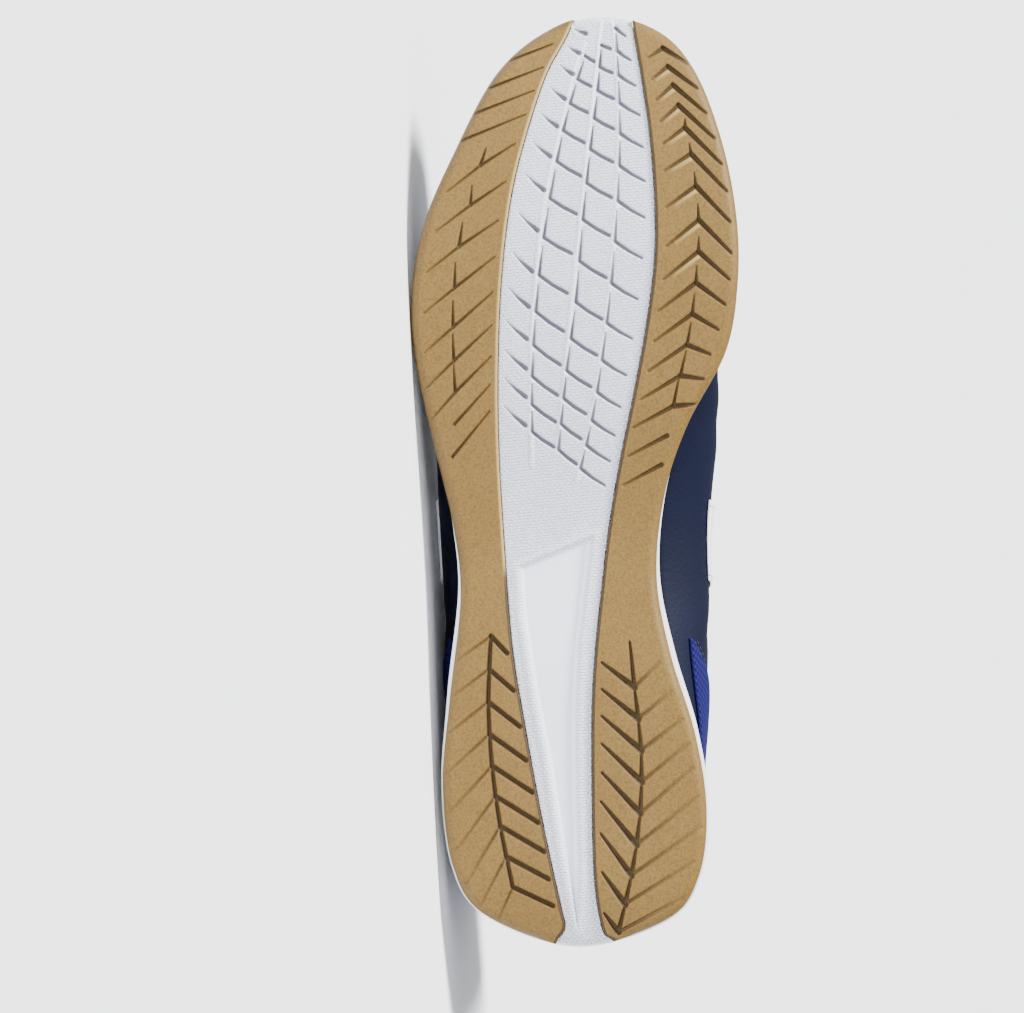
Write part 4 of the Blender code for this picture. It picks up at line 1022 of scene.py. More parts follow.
class StitchTree:
    """A tree of nodes that sews stitches along lines whose points know what is up."""

    def __init__(self) -> None:
        """Builds the tree."""
        self.tree = bpy.data.node_groups.new("stitches", "GeometryNodeTree")
        face = self.tree.interface
        face.new_socket(name="Geometry", in_out="INPUT", socket_type="NodeSocketGeometry")
        self.sockets = {}
        for name in ("Pitch", "Length", "Width", "Thread"):
            kind = "NodeSocketMaterial" if name == "Thread" else "NodeSocketFloat"
            self.sockets[name] = face.new_socket(name=name, in_out="INPUT", socket_type=kind).identifier
        face.new_socket(name="Geometry", in_out="OUTPUT", socket_type="NodeSocketGeometry")
        start = self.tree.nodes.new("NodeGroupInput").outputs
        curve = self.node("GeometryNodeMeshToCurve", {0: start["Geometry"]})
        feeds = {"Curve": curve, "Length": start["Pitch"]}
        even = self.node("GeometryNodeResampleCurve", feeds, mode="LENGTH")
        tangent = self.node("GeometryNodeInputTangent", {})
        up = self.node("GeometryNodeInputNamedAttribute", {"Name": "up"}, data_type="FLOAT_VECTOR")
        align = "FunctionNodeAlignRotationToVector"
        ahead = self.node(align, {"Vector": tangent}, axis="X")
        upright = self.node(align, {"Rotation": ahead, "Vector": up}, axis="Z", pivot_axis="X")
        ball = self.node("GeometryNodeMeshUVSphere", {"Segments": 8, "Rings": 5})
        size = self.node("ShaderNodeCombineXYZ", {0: start["Length"], 1: start["Width"], 2: start["Width"]})
        feeds = {"Points": even, "Instance": ball, "Rotation": upright, "Scale": size}
        many = self.node("GeometryNodeInstanceOnPoints", feeds)
        real = self.node("GeometryNodeRealizeInstances", {0: many})
        paint = self.node("GeometryNodeSetMaterial", {"Geometry": real, "Material": start["Thread"]})
        add_node(self.tree, "NodeGroupOutput", None, {0: paint})

    def node(self, kind: str, feeds: dict, **settings: str) -> bpy.types.NodeSocket:
        """Adds a node and gives its first output."""
        return add_node(self.tree, kind, settings, feeds).outputs[0]

    def sew(self, name: str, lines: Sequence, thread: bpy.types.Material, slot: Slot, stitch: Stitch) -> None:
        """Sews stitches, pressed flat where they would pass through the floor.

        Args:
            name: The piece's name.
            lines: Pairs of points and normals, in shoe axes.
            thread: The thread's finish.
            slot: Not used.
            stitch: The stitch's sizes.
        """
        turn = np.array(SHOE_TO_FRAME)
        edges, count = [], 0
        for line, _ in lines:
            edges += [(count + i, count + i + 1) for i in range(len(line) - 1)]
            count += len(line)
        points, ups = (np.vstack(parts) @ turn[:3, :3].T for parts in zip(*lines))
        mesh = bpy.data.meshes.new(name)
        mesh.from_pydata((points + turn[:3, 3]).tolist(), edges, [])
        up = mesh.attributes.new("up", "FLOAT_VECTOR", "POINT")
        up.data.foreach_set("vector", ups.astype(np.float32).ravel())
        item = placed(name, mesh)
        modifier = item.modifiers.new("stitches", "NODES")
        modifier.node_group = self.tree
        sizes = (stitch.pitch * MM, stitch.half_length * MM, stitch.half_width * MM, thread)
        for key, value in zip(self.sockets.values(), sizes):
            modifier[key] = value
        baked(item)
        spots = np.zeros(len(item.data.vertices) * 3, np.float32)
        item.data.vertices.foreach_get("co", spots)
        spots[2::3] = np.maximum(spots[2::3], 0)
        item.data.vertices.foreach_set("co", spots)
        if not item.data.uv_layers:
            item.data.uv_layers.new(name="face")
        item.data.uv_layers[0].name = "face"
        finished(item, slot)


@dataclass
class Piece:
    """What every sub-assembly is made with."""

    palette: Palette
    sewing: StitchTree


def ring_faces(rows: int, count: int, closed_rows: bool = False) -> list:
    """Faces over rows of rings; end rings that don't join are closed by a face each.

    Args:
        rows: How many rings.
        count: Points in each ring.
        closed_rows: Whether the last ring joins the first.

    Returns:
        The faces.
    """
    number = np.arange(rows * count).reshape(rows, count)
    following = np.roll(number, -1, axis=0) if closed_rows else number[1:]
    start = number if closed_rows else number[:-1]
    right, far = np.roll(start, -1, axis=1), np.roll(following, -1, axis=1)
    faces = np.stack((start, right, far, following), -1).reshape(-1, 4).tolist()
    if not closed_rows:
        faces += [number[0][::-1].tolist(), number[-1].tolist()]
    return faces


def rings_mesh(name: str, rings: np.ndarray, marks: dict) -> bpy.types.Mesh:
    """A closed mesh of rings of points, mapped by plan in centimetres."""
    points = rings.reshape(-1, 3)
    flat = {key: values.reshape(-1) for key, values in marks.items()}
    return build_mesh(name, points, ring_faces(*rings.shape[:2]), points[:, :2] * TO_CM, flat)


def spine_shell(name: str, rows: Sequence[np.ndarray]) -> bpy.types.Mesh:
    """A closed mesh of rows over the ribs, whose first and last rows lie on the spine."""
    rings = np.concatenate(rows, 1)
    count = rings.shape[1]
    faces = [face for k, face in enumerate(ring_faces(len(rings), count, True)) if k % count != count - 1]
    points = rings.reshape(-1, 3)
    return build_mesh(name, points, faces, points[:, :2] * TO_CM, {})


def spread(values: np.ndarray, shape: tuple, first_row: int = 0) -> np.ndarray:
    """Values put into a field of zeros, from a row and its first column on."""
    full = np.zeros(shape)
    full[first_row : first_row + values.shape[0], : values.shape[1]] = values
    return full


def quarter_round(radius: np.ndarray | float, distance: np.ndarray) -> np.ndarray:
    """How far a rounded edge falls away at a distance from it."""
    gap = np.clip(radius - distance, 0, radius)
    return radius - np.sqrt(np.maximum(radius**2 - gap**2, 0))


def band_line(edge: tuple, offset: float) -> np.ndarray:
    """The inner edge of a gum band as a smooth plan line, moved to its left."""
    return shifted(spline(plan(edge), False, 16), offset)


def table_spot(rows: tuple, number: int, name: str, width: float = BALL_WIDTH) -> np.ndarray:
    """A plan point between a table's rows, from a pair of its columns."""
    keys, along, across = columns(rows, "number", name, name + "_across")
    return np.array((smooth(keys, across, number) * width, smooth(keys, along, number) * SOLE_LENGTH))


@dataclass(frozen=True)
class Groove:
    """A moulded groove along a line: half widths and depths in metres, start and end."""

    line: np.ndarray
    half: tuple[float, float]
    depth: tuple[float, float]


class Carving:
    """How deep a set of grooves cuts at plan points."""

    def __init__(self, grooves: Sequence[Groove]) -> None:
        """Keeps the grooves."""
        self.grooves = grooves

    def at(self, x: np.ndarray, y: np.ndarray) -> tuple[np.ndarray, np.ndarray]:
        """The cut at points.

        Args:
            x: Places across.
            y: Places along.

        Returns:
            The depth, and a share from 0 outside to 1 at a groove's middle.
        """
        depth, share = np.zeros_like(x), np.zeros_like(x)
        for groove in self.grooves:
            run = lengths(groove.line)
            reach = max(groove.half) * 1.7
            for i, (a, b) in enumerate(zip(groove.line, groove.line[1:])):
                low, high = np.minimum(a, b) - reach, np.maximum(a, b) + reach
                near = (x > low[0]) & (x < high[0]) & (y > low[1]) & (y < high[1])
                if not near.any():
                    continue
                px, py = x[near], y[near]
                step = b - a
                t = ((px - a[0]) * step[0] + (py - a[1]) * step[1]) / max(step @ step, 1e-12)
                t = np.clip(t, 0, 1)
                place = (run[i] + t * (run[i + 1] - run[i])) / run[-1]
                half = groove.half[0] + (groove.half[1] - groove.half[0]) * place
                deep = groove.depth[0] + (groove.depth[1] - groove.depth[0]) * place
                distance = np.hypot(px - a[0] - t * step[0], py - a[1] - t * step[1])
                cut = 1 - step_up(distance / half, 0.35, 1.25)
                depth[near] = np.maximum(depth[near], cut * deep)
                strength = np.clip(deep / (0.9 * MM), 0.2, 1)
                share[near] = np.maximum(share[near], np.clip(1.6 - distance / half, 0, 1) * strength)
        return depth, share


@dataclass(frozen=True)
class LegStyle:
    """A leg's half width and depth at the apex and at its end, in millimetres."""

    apex_half: float
    end_half: float
    apex_depth: float
    end_depth: float

    def groove(self, line: np.ndarray) -> Groove:
        """A groove in this style, from the apex on."""
        half = (self.apex_half * MM, self.end_half * MM)
        return Groove(line, half, (self.apex_depth * MM, self.end_depth * MM))


LUG_LIP = LegStyle(0.9, 0.6, 0.4, 0.1)
LUG_TICK = LegStyle(0.5, 0.3, 0.8, 0.4)
STRIP_LIMB = LegStyle(0.6, 0.36, 0.9, 0.6)
STRIP_RIDGE = LegStyle(0.6, 0.65, 0.44, 0.36)
STRIP_CELL = LegStyle(0.58, 0.64, 0.95, 0.95)

# The centre strip's columns: table, how many cells, style
STRIP_COLUMNS = (
    (COLUMN_0, 14, LegStyle(0.3, 0.8, 0.4, 1.0)),
    (COLUMN_1, 13, STRIP_CELL),
    (COLUMN_2, 14, STRIP_CELL),
    (COLUMN_3, 15, LegStyle(0.64, 0.5, 0.95, 0.75)),
)


@dataclass(frozen=True)
class ChevronBlock:
    """A run of chevron grooves, with the styles of their legs."""

    rows: tuple
    count: int
    width: float
    first_outer: int
    last_outer: int
    inner_style: LegStyle
    outer_style: LegStyle
    ticks: tuple = ()
    spine_style: LegStyle | None = None
    spine_start: tuple | None = None
    lipped: tuple = (0, 0)
    lip_drop: float = 1.5 * MM
    lip_share: float = 0.7
    longer: tuple = (0.17, 0.06)

    def spot(self, number: int, name: str) -> np.ndarray:
        """A plan point of one chevron: its apex, or its inner or outer end."""
        return table_spot(self.rows, number, name, self.width)

    def lips(self) -> list[Groove]:
        """The raised lips under the forefoot's chevrons, by their apexes."""
        made = []
        down = np.array((0.0, -self.lip_drop))
        for number in range(*self.lipped):
            apex, inner = self.spot(number, "apex"), self.spot(number, "inner")
            end = apex + (inner - apex) * self.lip_share + down
            made.append(LUG_LIP.groove(np.stack((apex + down, end))))
        return made

    def grooves(self) -> list[Groove]:
        """Every groove of the block."""
        made = []
        for number in range(self.count):
            apex, inner = self.spot(number, "apex"), self.spot(number, "inner")
            if number < self.first_outer:
                past_apex, past_inner = self.longer
                apex, inner = apex + (apex - inner) * past_apex, inner + (inner - apex) * past_inner
            made.append(self.inner_style.groove(np.stack((apex, inner))))
            if self.first_outer <= number <= self.last_outer:
                made.append(self.outer_style.groove(np.stack((apex, self.spot(number, "outer")))))
        for tick in self.ticks:
            top = np.array((tick.across * self.width, tick.along * SOLE_LENGTH))
            made.append(LUG_TICK.groove(np.stack((self.spot(tick.number, "apex"), top))))
        if self.spine_style is not None:
            spots = [self.spot(number, "apex") for number in range(self.count)]
            if self.spine_start is not None:
                along, across = self.spine_start
                spots.insert(0, np.array((across * self.width, along * SOLE_LENGTH)))
            made += [self.spine_style.groove(np.stack((b, a))) for a, b in zip(spots, spots[1:])]
        return made


LUGS_INNER = (
    ChevronBlock(
        FOREFOOT_INNER, 16, BALL_WIDTH, 0, 13,
        LegStyle(0.6, 0.4, 0.75, 0.4), LegStyle(0.75, 0.5, 1.1, 0.6), TICKS_INNER, lipped=(1, 9),
    ),
    ChevronBlock(
        HEEL_INNER, 9, HEEL_WIDTH, 0, 8,
        LegStyle(0.95, 0.45, 1.2, 0.6), LegStyle(0.55, 0.7, 0.55, 0.25), (),
        LegStyle(0.7, 0.4, 1.0, 0.7), (0.328, -0.188),
    ),
)

LUGS_OUTER = (
    ChevronBlock(
        FOREFOOT_OUTER, 13, BALL_WIDTH, 4, 10,
        LegStyle(0.42, 0.3, 0.7, 0.4), LegStyle(0.38, 0.3, 0.6, 0.35), TICKS_OUTER,
    ),
    ChevronBlock(
        HEEL_OUTER, 9, HEEL_WIDTH, 0, 8,
        LegStyle(0.7, 0.7, 1.1, 1.1), LegStyle(0.4, 0.55, 0.5, 0.25), (),
        LegStyle(0.65, 0.55, 1.0, 0.9), None,
    ),
)


@dataclass
class GumBand(Piece):
    """One gum band of the outsole: a cup from its inner edge out and up the side."""

    name: str
    edge: tuple
    outer_side: bool
    blocks: tuple
    rows: int = 760
    middle_columns: int = 78
    edge_columns: int = 12
    fine_span: float = 0.9 * MM
    round_span: float = 3.4 * MM
    inner_radius: float = 0.5 * MM
    lip_radius: float = 0.5 * MM
    calm_outer: float = 1.2 * MM
    calm_inner: float = 0.5 * MM
    # spans of the painted shadow and painted highlight along the inner edge
    edge_shade_and_highlight: tuple = (0.45 * MM, 1.0 * MM)
    # width of the painted shade along the outer rim
    rim_shade_width: float = 5.0 * MM
    heel_from: tuple = (0.38, 0.42)
    least_square: float = 0.35

    def curves(self) -> tuple[np.ndarray, np.ndarray]:
        """The band's inner and outer lines in plan, from toe to heel, row by row."""
        outline = Outline(OUTLINE_LINE)
        inner, toe, heel = outline.clip(band_line(self.edge, GAP / 2 if self.outer_side else -GAP / 2))
        whole = outline.run[-1]
        if self.outer_side:
            start, end = (toe + whole, heel) if toe < heel else (toe, heel)
        else:
            start, end = (toe, heel) if toe < heel else (toe - whole, heel)
        shares = np.linspace(0, 1, self.rows)
        return resample(inner, shares), outline.span(start, end, shares)

    def squareness(self, way: np.ndarray, line: np.ndarray) -> np.ndarray:
        """How squarely the columns' direction meets a line, 1 at a right angle."""
        ahead = directions(line)
        return np.maximum(np.abs(way[:, :1] * ahead[:, 1:] - way[:, 1:] * ahead[:, :1]), self.least_square)

    def steps(self, length: np.ndarray) -> np.ndarray:
        """The columns' distances from the inner line, close together at both edges."""
        near, far = np.minimum(self.fine_span, length * 0.25), np.minimum(self.round_span, length * 0.5)
        first = near * np.linspace(0, 1, 5)[None, :] ** 1.5
        middle = near + (length - near - far) * np.linspace(0, 1, self.middle_columns)[None, 1:-1]
        last = length - far * np.cos(np.linspace(0, np.pi / 2, self.edge_columns))[None, :]
        return np.concatenate((first, middle, last), 1)

    def wall(self, outer: np.ndarray, way: np.ndarray, length: np.ndarray, radius: np.ndarray) -> list:
        """The columns up the side, over the lip and back to the inner line.

        Args:
            outer: The band's outer line.
            way: The columns' directions.
            length: The band's width at each row.
            radius: The rounding of the tread's outer edge.

        Returns:
            Points, a column each.
        """

        def place(inside: np.ndarray, up: np.ndarray) -> np.ndarray:
            """Points a step inside the outer line, at a height over the tread."""
            spot = outer - way * inside
            level = ground(spot[:, 1:] / SOLE_LENGTH) + up
            return np.concatenate((spot, level), 1)[:, None, :]

        wrap = read(STACKS, "wrap", outer[:, 1:] / SOLE_LENGTH) * GUM_WRAP
        wall_in = np.minimum(GUM_WALL, length * 0.4)
        lip = np.minimum(self.lip_radius, wall_in * 0.4)
        made = [place(length * 0, radius + (wrap - lip - radius) * s) for s in (0.25, 0.5, 0.75, 1.0)]
        made += [place(lip * (1 - math.cos(q)), wrap - lip + lip * math.sin(q)) for q in (0.5, 1.05, 1.57)]
        bed = np.full_like(wrap, GUM_THICKNESS)
        made += [place(wall_in, wrap), place(wall_in, bed)]
        return made + [place(length * 0.6, bed), place(length, bed)]

    def build(self) -> None:
        """Makes the band."""
        inner, outer = self.curves()
        across = outer - inner
        length = np.maximum(np.linalg.norm(across, axis=1, keepdims=True), 1e-7)
        way = across / length
        run = self.steps(length)
        square_out, square_in = self.squareness(way, outer), self.squareness(way, inner)
        to_outer, to_inner = (length - run) * square_out, run * square_in
        x = inner[:, :1] + way[:, :1] * run
        y = inner[:, 1:] + way[:, 1:] * run
        radius = np.minimum(GUM_EDGE, length * square_out * 0.5)
        inner_radius = np.minimum(self.inner_radius, length * square_in * 0.2)
        rounding = quarter_round(radius, to_outer) + quarter_round(inner_radius, to_inner)
        cut, share = Carving([g for block in self.blocks for g in block.grooves()]).at(x, y)
        keep = step_up(to_outer, 0.0, self.calm_outer) * step_up(to_inner, 0.0, self.calm_inner)
        lift = Carving([g for block in self.blocks for g in block.lips()]).at(x, y)[0] * (1 - share)
        height = ground(y / SOLE_LENGTH) + rounding + cut * keep - lift
        bottom = np.stack((x, y, height), -1)
        rings = np.concatenate([bottom] + self.wall(outer, way, length, radius), 1)
        heel_part = 1 - step_up(y / SOLE_LENGTH, *self.heel_from)
        # painted shadow and painted highlight along the inner edge, where the band stands proud of the strip
        edge_shade_and_highlight = 1 - step_up(to_inner, *self.edge_shade_and_highlight)
        # painted shade along the outer rim, where the tread curves away from the light; strongest at the
        # outer band's forefoot
        rim = 1 - step_up(to_outer, 0.0, self.rim_shade_width)
        if self.outer_side:
            # outer band: painted shadow along the heel's edge, painted highlight along the forefoot's edge
            painted_edge_shadow, light = edge_shade_and_highlight * heel_part, edge_shade_and_highlight * (1 - heel_part)
            rim = rim * (0.42 - 0.12 * heel_part)
        else:
            # inner band: painted shadow along the edge, painted highlight on the raised lips
            painted_edge_shadow, light = edge_shade_and_highlight, lift / (LUG_LIP.apex_depth * MM)
            rim = rim * 0.12
        # the groove mark carries the painted shade (grooves, edge shadow, rim); the crest mark carries the
        # painted highlight
        groove = spread(np.maximum(share * keep, np.maximum(painted_edge_shadow, rim)), rings.shape[:2])
        mesh = rings_mesh(self.name, rings, {"groove": groove, "crest": spread(light, rings.shape[:2])})
        add_piece(self.name + "_tread", mesh, self.palette.gum, Slot.GUM, self.name)


@dataclass
class CentreStrip(Piece):
    """The white strip between the bands: ridges, cells, and the recess at the shank."""

    rows: int = 720
    middle_columns: int = 104
    end_rows: int = 5
    sag: float = 0.035
    limb_share: float = 0.74
    recess_slope: float = 2.0 * MM
    bank_outside: tuple = (-2.4 * MM, -0.4 * MM)
    bank_inside: tuple = (-0.2 * MM, 0.8 * MM)
    bank_height: float = 0.4 * MM

    def cells(self) -> list[Groove]:
        """The grooves of the four columns."""
        made = []
        for rows, count, style in STRIP_COLUMNS:
            before = None
            for number in range(count):
                corner, tip = table_spot(rows, number, "start"), table_spot(rows, number, "end")
                sag = np.array((0.0, -self.sag * np.linalg.norm(tip - corner)))
                made.append(style.groove(np.stack((corner, (corner + tip) / 2 + sag, tip))))
                if rows is not COLUMN_0 and before is not None:
                    limb = np.stack((corner, corner + (before - corner) * self.limb_share))
                    made.append(STRIP_LIMB.groove(limb))
                before = corner
        return made

    def ridges(self) -> list[Groove]:
        """The raised lines along the strip."""
        return [STRIP_RIDGE.groove(spline(plan(rows), False, 6)) for rows in RIDGES]

    def shank(self, x: np.ndarray, y: np.ndarray) -> np.ndarray:
        """How far inside the shank's recess points lie, in metres, less than 0 outside."""
        corner = plan(SHANK)
        line = np.vstack((corner, corner[:1]))
        best = np.full_like(x, 1.0)
        inside = np.zeros(x.shape, bool)
        for a, b in zip(line, line[1:]):
            step = b - a
            t = np.clip(((x - a[0]) * step[0] + (y - a[1]) * step[1]) / (step @ step), 0, 1)
            best = np.minimum(best, np.hypot(x - a[0] - t * step[0], y - a[1] - t * step[1]))
            if a[1] != b[1]:
                crosses = (a[1] > y) != (b[1] > y)
                inside ^= crosses & (x < a[0] + (y - a[1]) / (b[1] - a[1]) * step[0])
        return np.where(inside, best, -best)

    def build(self) -> None:
        """Makes the strip."""
        outline = Outline(OUTLINE_LINE)
        left, toe_left, heel_left = outline.clip(band_line(OUTER_BAND_EDGE, -GAP / 2))
        right, toe_right, heel_right = outline.clip(band_line(INNER_BAND_EDGE, GAP / 2))
        whole = outline.run[-1]
        toe_left, toe_right = (spot - whole if spot > whole / 2 else spot for spot in (toe_left, toe_right))
        v = np.linspace(0, 1, self.middle_columns)
        s = np.linspace(0, 1, self.rows)
        size = lengths(left)[-1]
        ends = GUM_EDGE * 1.2 / size * (1 - np.cos(np.linspace(0, np.pi / 2, 10)))
        s = np.concatenate((ends, s[(s > ends[-1]) & (s < 1 - ends[-1])], 1 - ends[::-1]))
        toe, heel = outline.span(toe_left, toe_right, v), outline.span(heel_left, heel_right, v)

        def patch(s: np.ndarray, pick: Sequence) -> np.ndarray:
            """Plan points of the strip, s from toe to heel, at picked columns."""
            outer_share, inner_share = (1 - v[pick])[:, None], v[pick][:, None]
            sides = resample(left, s)[:, None] * outer_share + resample(right, s)[:, None] * inner_share
            near, far = (1 - s)[:, None, None], s[:, None, None]
            tips = near * toe[pick] + far * heel[pick]
            corners = near * (toe[0] * outer_share + toe[-1] * inner_share)
            corners = corners + far * (heel[0] * outer_share + heel[-1] * inner_share)
            return sides + tips - corners

        spots = patch(s, slice(None))
        x, y = spots[..., 0], spots[..., 1]
        cut, share = Carving(self.cells()).at(x, y)
        rise, line_share = Carving(self.ridges()).at(x, y)
        deep = self.shank(x, y)
        recess = step_up(deep, 0.0, self.recess_slope)
        bank = step_up(deep, *self.bank_outside) * (1 - step_up(deep, *self.bank_inside))
        rounding = quarter_round(GUM_EDGE, np.minimum(s, 1 - s)[:, None] * size)
        height = ground(y / SOLE_LENGTH) + CENTRE_RECESS + rounding + cut + recess * SHANK_RECESS
        height = height - rise - bank * self.bank_height
        bottom = np.concatenate((spots, height[..., None]), -1)
        inside = np.clip(s, GUM_WALL / size, 1 - GUM_WALL / size)
        tops = patch(inside, [-1, len(v) // 2, 0])
        top_height = ground(tops[..., 1] / SOLE_LENGTH) + GUM_THICKNESS
        top = np.concatenate((tops, top_height[..., None]), -1)
        rings = np.concatenate((bottom, top), 1)
        first, last = [], []
        for step in np.linspace(1, 0, self.end_rows + 1)[:-1]:
            for row, rows in ((rings[0], first), (rings[-1], last)):
                raised = row.copy()
                level = ground(row[:, 1] / SOLE_LENGTH)
                wrap = read(STACKS, "wrap", row[:, 1] / SOLE_LENGTH) * GUM_WRAP
                raised[:, 2] += (level + wrap - row[:, 2]) * step
                rows.append(raised)
        rings = np.concatenate((np.array(first), rings, np.array(last[::-1])))
        smoothness = np.clip(1 - share * 1.4 - line_share * 1.2, 0, 1) * (1 - recess)
        # painted highlight on the raised ridges and the recess's bank; the groove mark is painted shade
        ridge_highlight = np.clip(line_share + bank, 0, 1) * (1 - share)
        marks = {"groove": share, "linen": smoothness, "crest": ridge_highlight}
        marks = {key: spread(values, rings.shape[:2], self.end_rows) for key, values in marks.items()}
        mesh = rings_mesh("outsole_centre", rings, marks)
        finish = self.palette.white_rubber
        add_piece("outsole_centre_tread", mesh, finish, Slot.WHITE_RUBBER, "outsole_centre")


@dataclass(frozen=True)
class SideStep:
    """A point of the midsole's side: inset and lift in millimetres, level as a share."""

    inset: float
    level: float
    lift: float


MIDSOLE_SIDE = table(SideStep, (
    (0.35, 0.0, 0.0), (0.0, 0.0, 0.4), (0.0, 0.3, 0.0), (0.0, 0.62, -0.9), (0.25, 0.62, -0.6),
    (0.9, 0.62, -0.2), (0.9, 0.62, 0.2), (0.2, 0.62, 0.6), (0.0, 0.62, 0.9), (0.0, 0.85, 0.0),
    (0.1, 1.0, -0.9), (0.45, 1.0, -0.4), (0.9, 1.0, -0.1),
))


@dataclass
class Midsole(Piece):
    """The foam midsole: seated in the cup, grooved along its side."""

    side_steps: int = 150
    fan_steps: int = 50
    lip: float = 1.6 * MM
    spine_shares: tuple = (0.75, 0.45, 0.0)

    def build(self) -> None:
        """Makes the midsole."""
        ribs = all_ribs(self.side_steps, self.fan_steps)
        along = ribs.along(ribs.reach)
        wrap = read(STACKS, "wrap", along) * GUM_WRAP
        stack = read(STACKS, "stack", along) * HEEL_STACK
        side = ribs.flare()
        seat = ribs.inside(GUM_WALL + GAP)
        steps = [(ribs.reach * share, GUM_THICKNESS + GAP) for share in reversed(self.spine_shares)]
        steps += [(seat, GUM_THICKNESS + GAP), (seat, wrap + GAP)]
        for step in MIDSOLE_SIDE:
            level = wrap + GAP + (stack - wrap - GAP) * step.level + step.lift * MM
            steps.append((ribs.inside(GAP + step.inset * MM - side), level))
        rows = [ribs.at(out, ground(ribs.along(out)) + up) for out, up in steps]
        for out in [ribs.inside(self.lip - side)] + [ribs.reach * share for share in self.spine_shares]:
            rows.append(ribs.at(out, edge_height(ribs.along(out))))
        add_piece("midsole_foam", spine_shell("midsole", rows), self.palette.foam, Slot.FOAM, "midsole")


@dataclass
class Insole(Piece):
    """The insole that shows in the collar: a soft sheet, dished at the heel."""

    thickness: float = 4.0 * MM
    inset: float = TUCK + 3.4 * MM
    side_steps: int = 110
    fan_steps: int = 36

    def build(self) -> None:
        """Makes the insole."""
        ribs = all_ribs(self.side_steps, self.fan_steps)
        edge = ribs.inside(self.inset - ribs.flare())
        rows = []
        for share, drop in ((0.0, 0), (0.5, 0), (0.9, 0), (1.0, 0.05), (1.0, 0.85)):
            out = edge * share
            level = edge_height(ribs.along(out)) + GAP + self.thickness * drop
            rows.append(ribs.at(out, level + 0.1 * MM))
        for share in (0.985, 0.95, 0.85, 0.7, 0.5, 0.25, 0.0):
            out = edge * share
            rows.append(ribs.at(out, edge_height(ribs.along(out)) + GAP + self.thickness))
        mesh = spine_shell("insole", rows)
        add_piece("insole_cloth", mesh, self.palette.insole, Slot.LINING, "insole")


class Crease(NamedTuple):
    """A soft trough of the upper, in millimetres: its middle along and up, its half
    length and half width, depth, lean along for each step up, and side (0 for both)."""

    along: float
    up: float
    half_length: float
    half_width: float
    depth: float
    lean: float
    side: int


CREASES = table(Crease, (
    (191.0, 52.0, 20.0, 3.4, 0.55, -0.25, 0), (199.5, 49.0, 22.0, 3.8, 0.8, -0.2, 0),
    (209.0, 46.0, 20.0, 4.0, 0.7, -0.12, 0), (218.5, 44.0, 15.0, 4.2, 0.4, 0.0, 0),
    (183.0, 40.0, 12.0, 4.5, 0.45, 0.35, 1), (186.0, 41.0, 12.0, 4.5, 0.5, 0.3, -1),
    (108.0, 52.0, 17.0, 5.0, 0.55, 0.55, 1), (104.0, 53.0, 16.0, 5.0, 0.5, 0.6, -1),
    (80.0, 58.0, 13.0, 4.5, 0.5, 0.3, 1), (78.0, 58.0, 13.0, 4.5, 0.45, 0.35, -1),
    (26.0, 62.0, 15.0, 4.0, 0.35, -0.15, 0),
))


def crease_depth(points: np.ndarray) -> np.ndarray:
    """How far the upper's face sinks at points, ridges beside each trough less than 0."""
    x, y, z = points[..., 0] / MM, points[..., 1] / MM, points[..., 2] / MM
    total = np.zeros_like(x)
    for row in CREASES:
        across = (y - row.along - row.lean * (z - row.up)) / row.half_width
        fade = np.exp(-(((z - row.up) / row.half_length) ** 2))
        shape = np.exp(-(across**2)) - 0.45 * np.exp(-((np.abs(across) - 1.9) ** 2))
        side = 1.0 if row.side == 0 else step_up(x * row.side, -5.0, 10.0)
        total = total + shape * fade * side * row.depth * MM
    return total


def grid_normals(grid: np.ndarray, around: bool) -> np.ndarray:
    """The outward normals of a grid of points whose rows run counter-clockwise.

    Args:
        grid: Points, ribs by rows.
        around: Whether the last rib joins the first.

    Returns:
        Unit normals, one for each point.
    """
    if around:
        across = np.roll(grid, -1, axis=0) - np.roll(grid, 1, axis=0)
    else:
        across = np.gradient(grid, axis=0)
    up = np.gradient(grid, axis=1)
    return unit(np.cross(across, up), 1e-15)


def skin(along: np.ndarray, width: np.ndarray) -> np.ndarray:
    """The upper's face at places: width runs from 0 at the ridge to 1 at the widest
    point, more than 0 on the outer side."""
    shape = np.shape(along)
    ribs = ribs_at(np.ravel(along), np.where(np.ravel(width) >= 0, 0.0, np.pi))
    points = ribs.upper(2 - np.abs(np.ravel(width))[:, None]).reshape(-1, 3)
    return points.reshape(*shape, 3)


def skin_frame(along: np.ndarray, width: np.ndarray) -> tuple[np.ndarray, np.ndarray]:
    """Points of the upper's creased face, and its normals, at places."""
    sign = np.where(np.asarray(width) >= 0, 1.0, -1.0)
    small = 0.004
    inner = np.maximum(np.abs(width) - small, 0.0) * sign
    ahead = skin(along + small / 2, width) - skin(along - small / 2, width)
    out = skin(along, width + small * sign) - skin(along, inner)
    normal = unit(np.cross(out, ahead) * sign[..., None], 1e-15)
    points = skin(along, width)
    return points - normal * crease_depth(points)[..., None], normal


def over_throat(x: np.ndarray, along: np.ndarray) -> tuple[np.ndarray, np.ndarray]:
    """The closed upper's point and normal over plan points near the ridge."""
    spine = read(STACKS, "spine", along) * BALL_WIDTH
    side = np.where(x >= spine, 1.0, -1.0)
    ribs = ribs_at(along, np.where(side > 0, 0.0, np.pi))
    power = 2 / read(SECTIONS, "roundness", along)
    share = np.clip(np.abs(x - spine) / ribs.widest()[:, 0], 0, 1) ** (1 / power)
    width = (1 - np.arccos(share) * 2 / np.pi) * side
    points, normal = skin_frame(along, np.where(np.abs(width) < 1e-4, 1e-4 * side, width))
    return points, normal


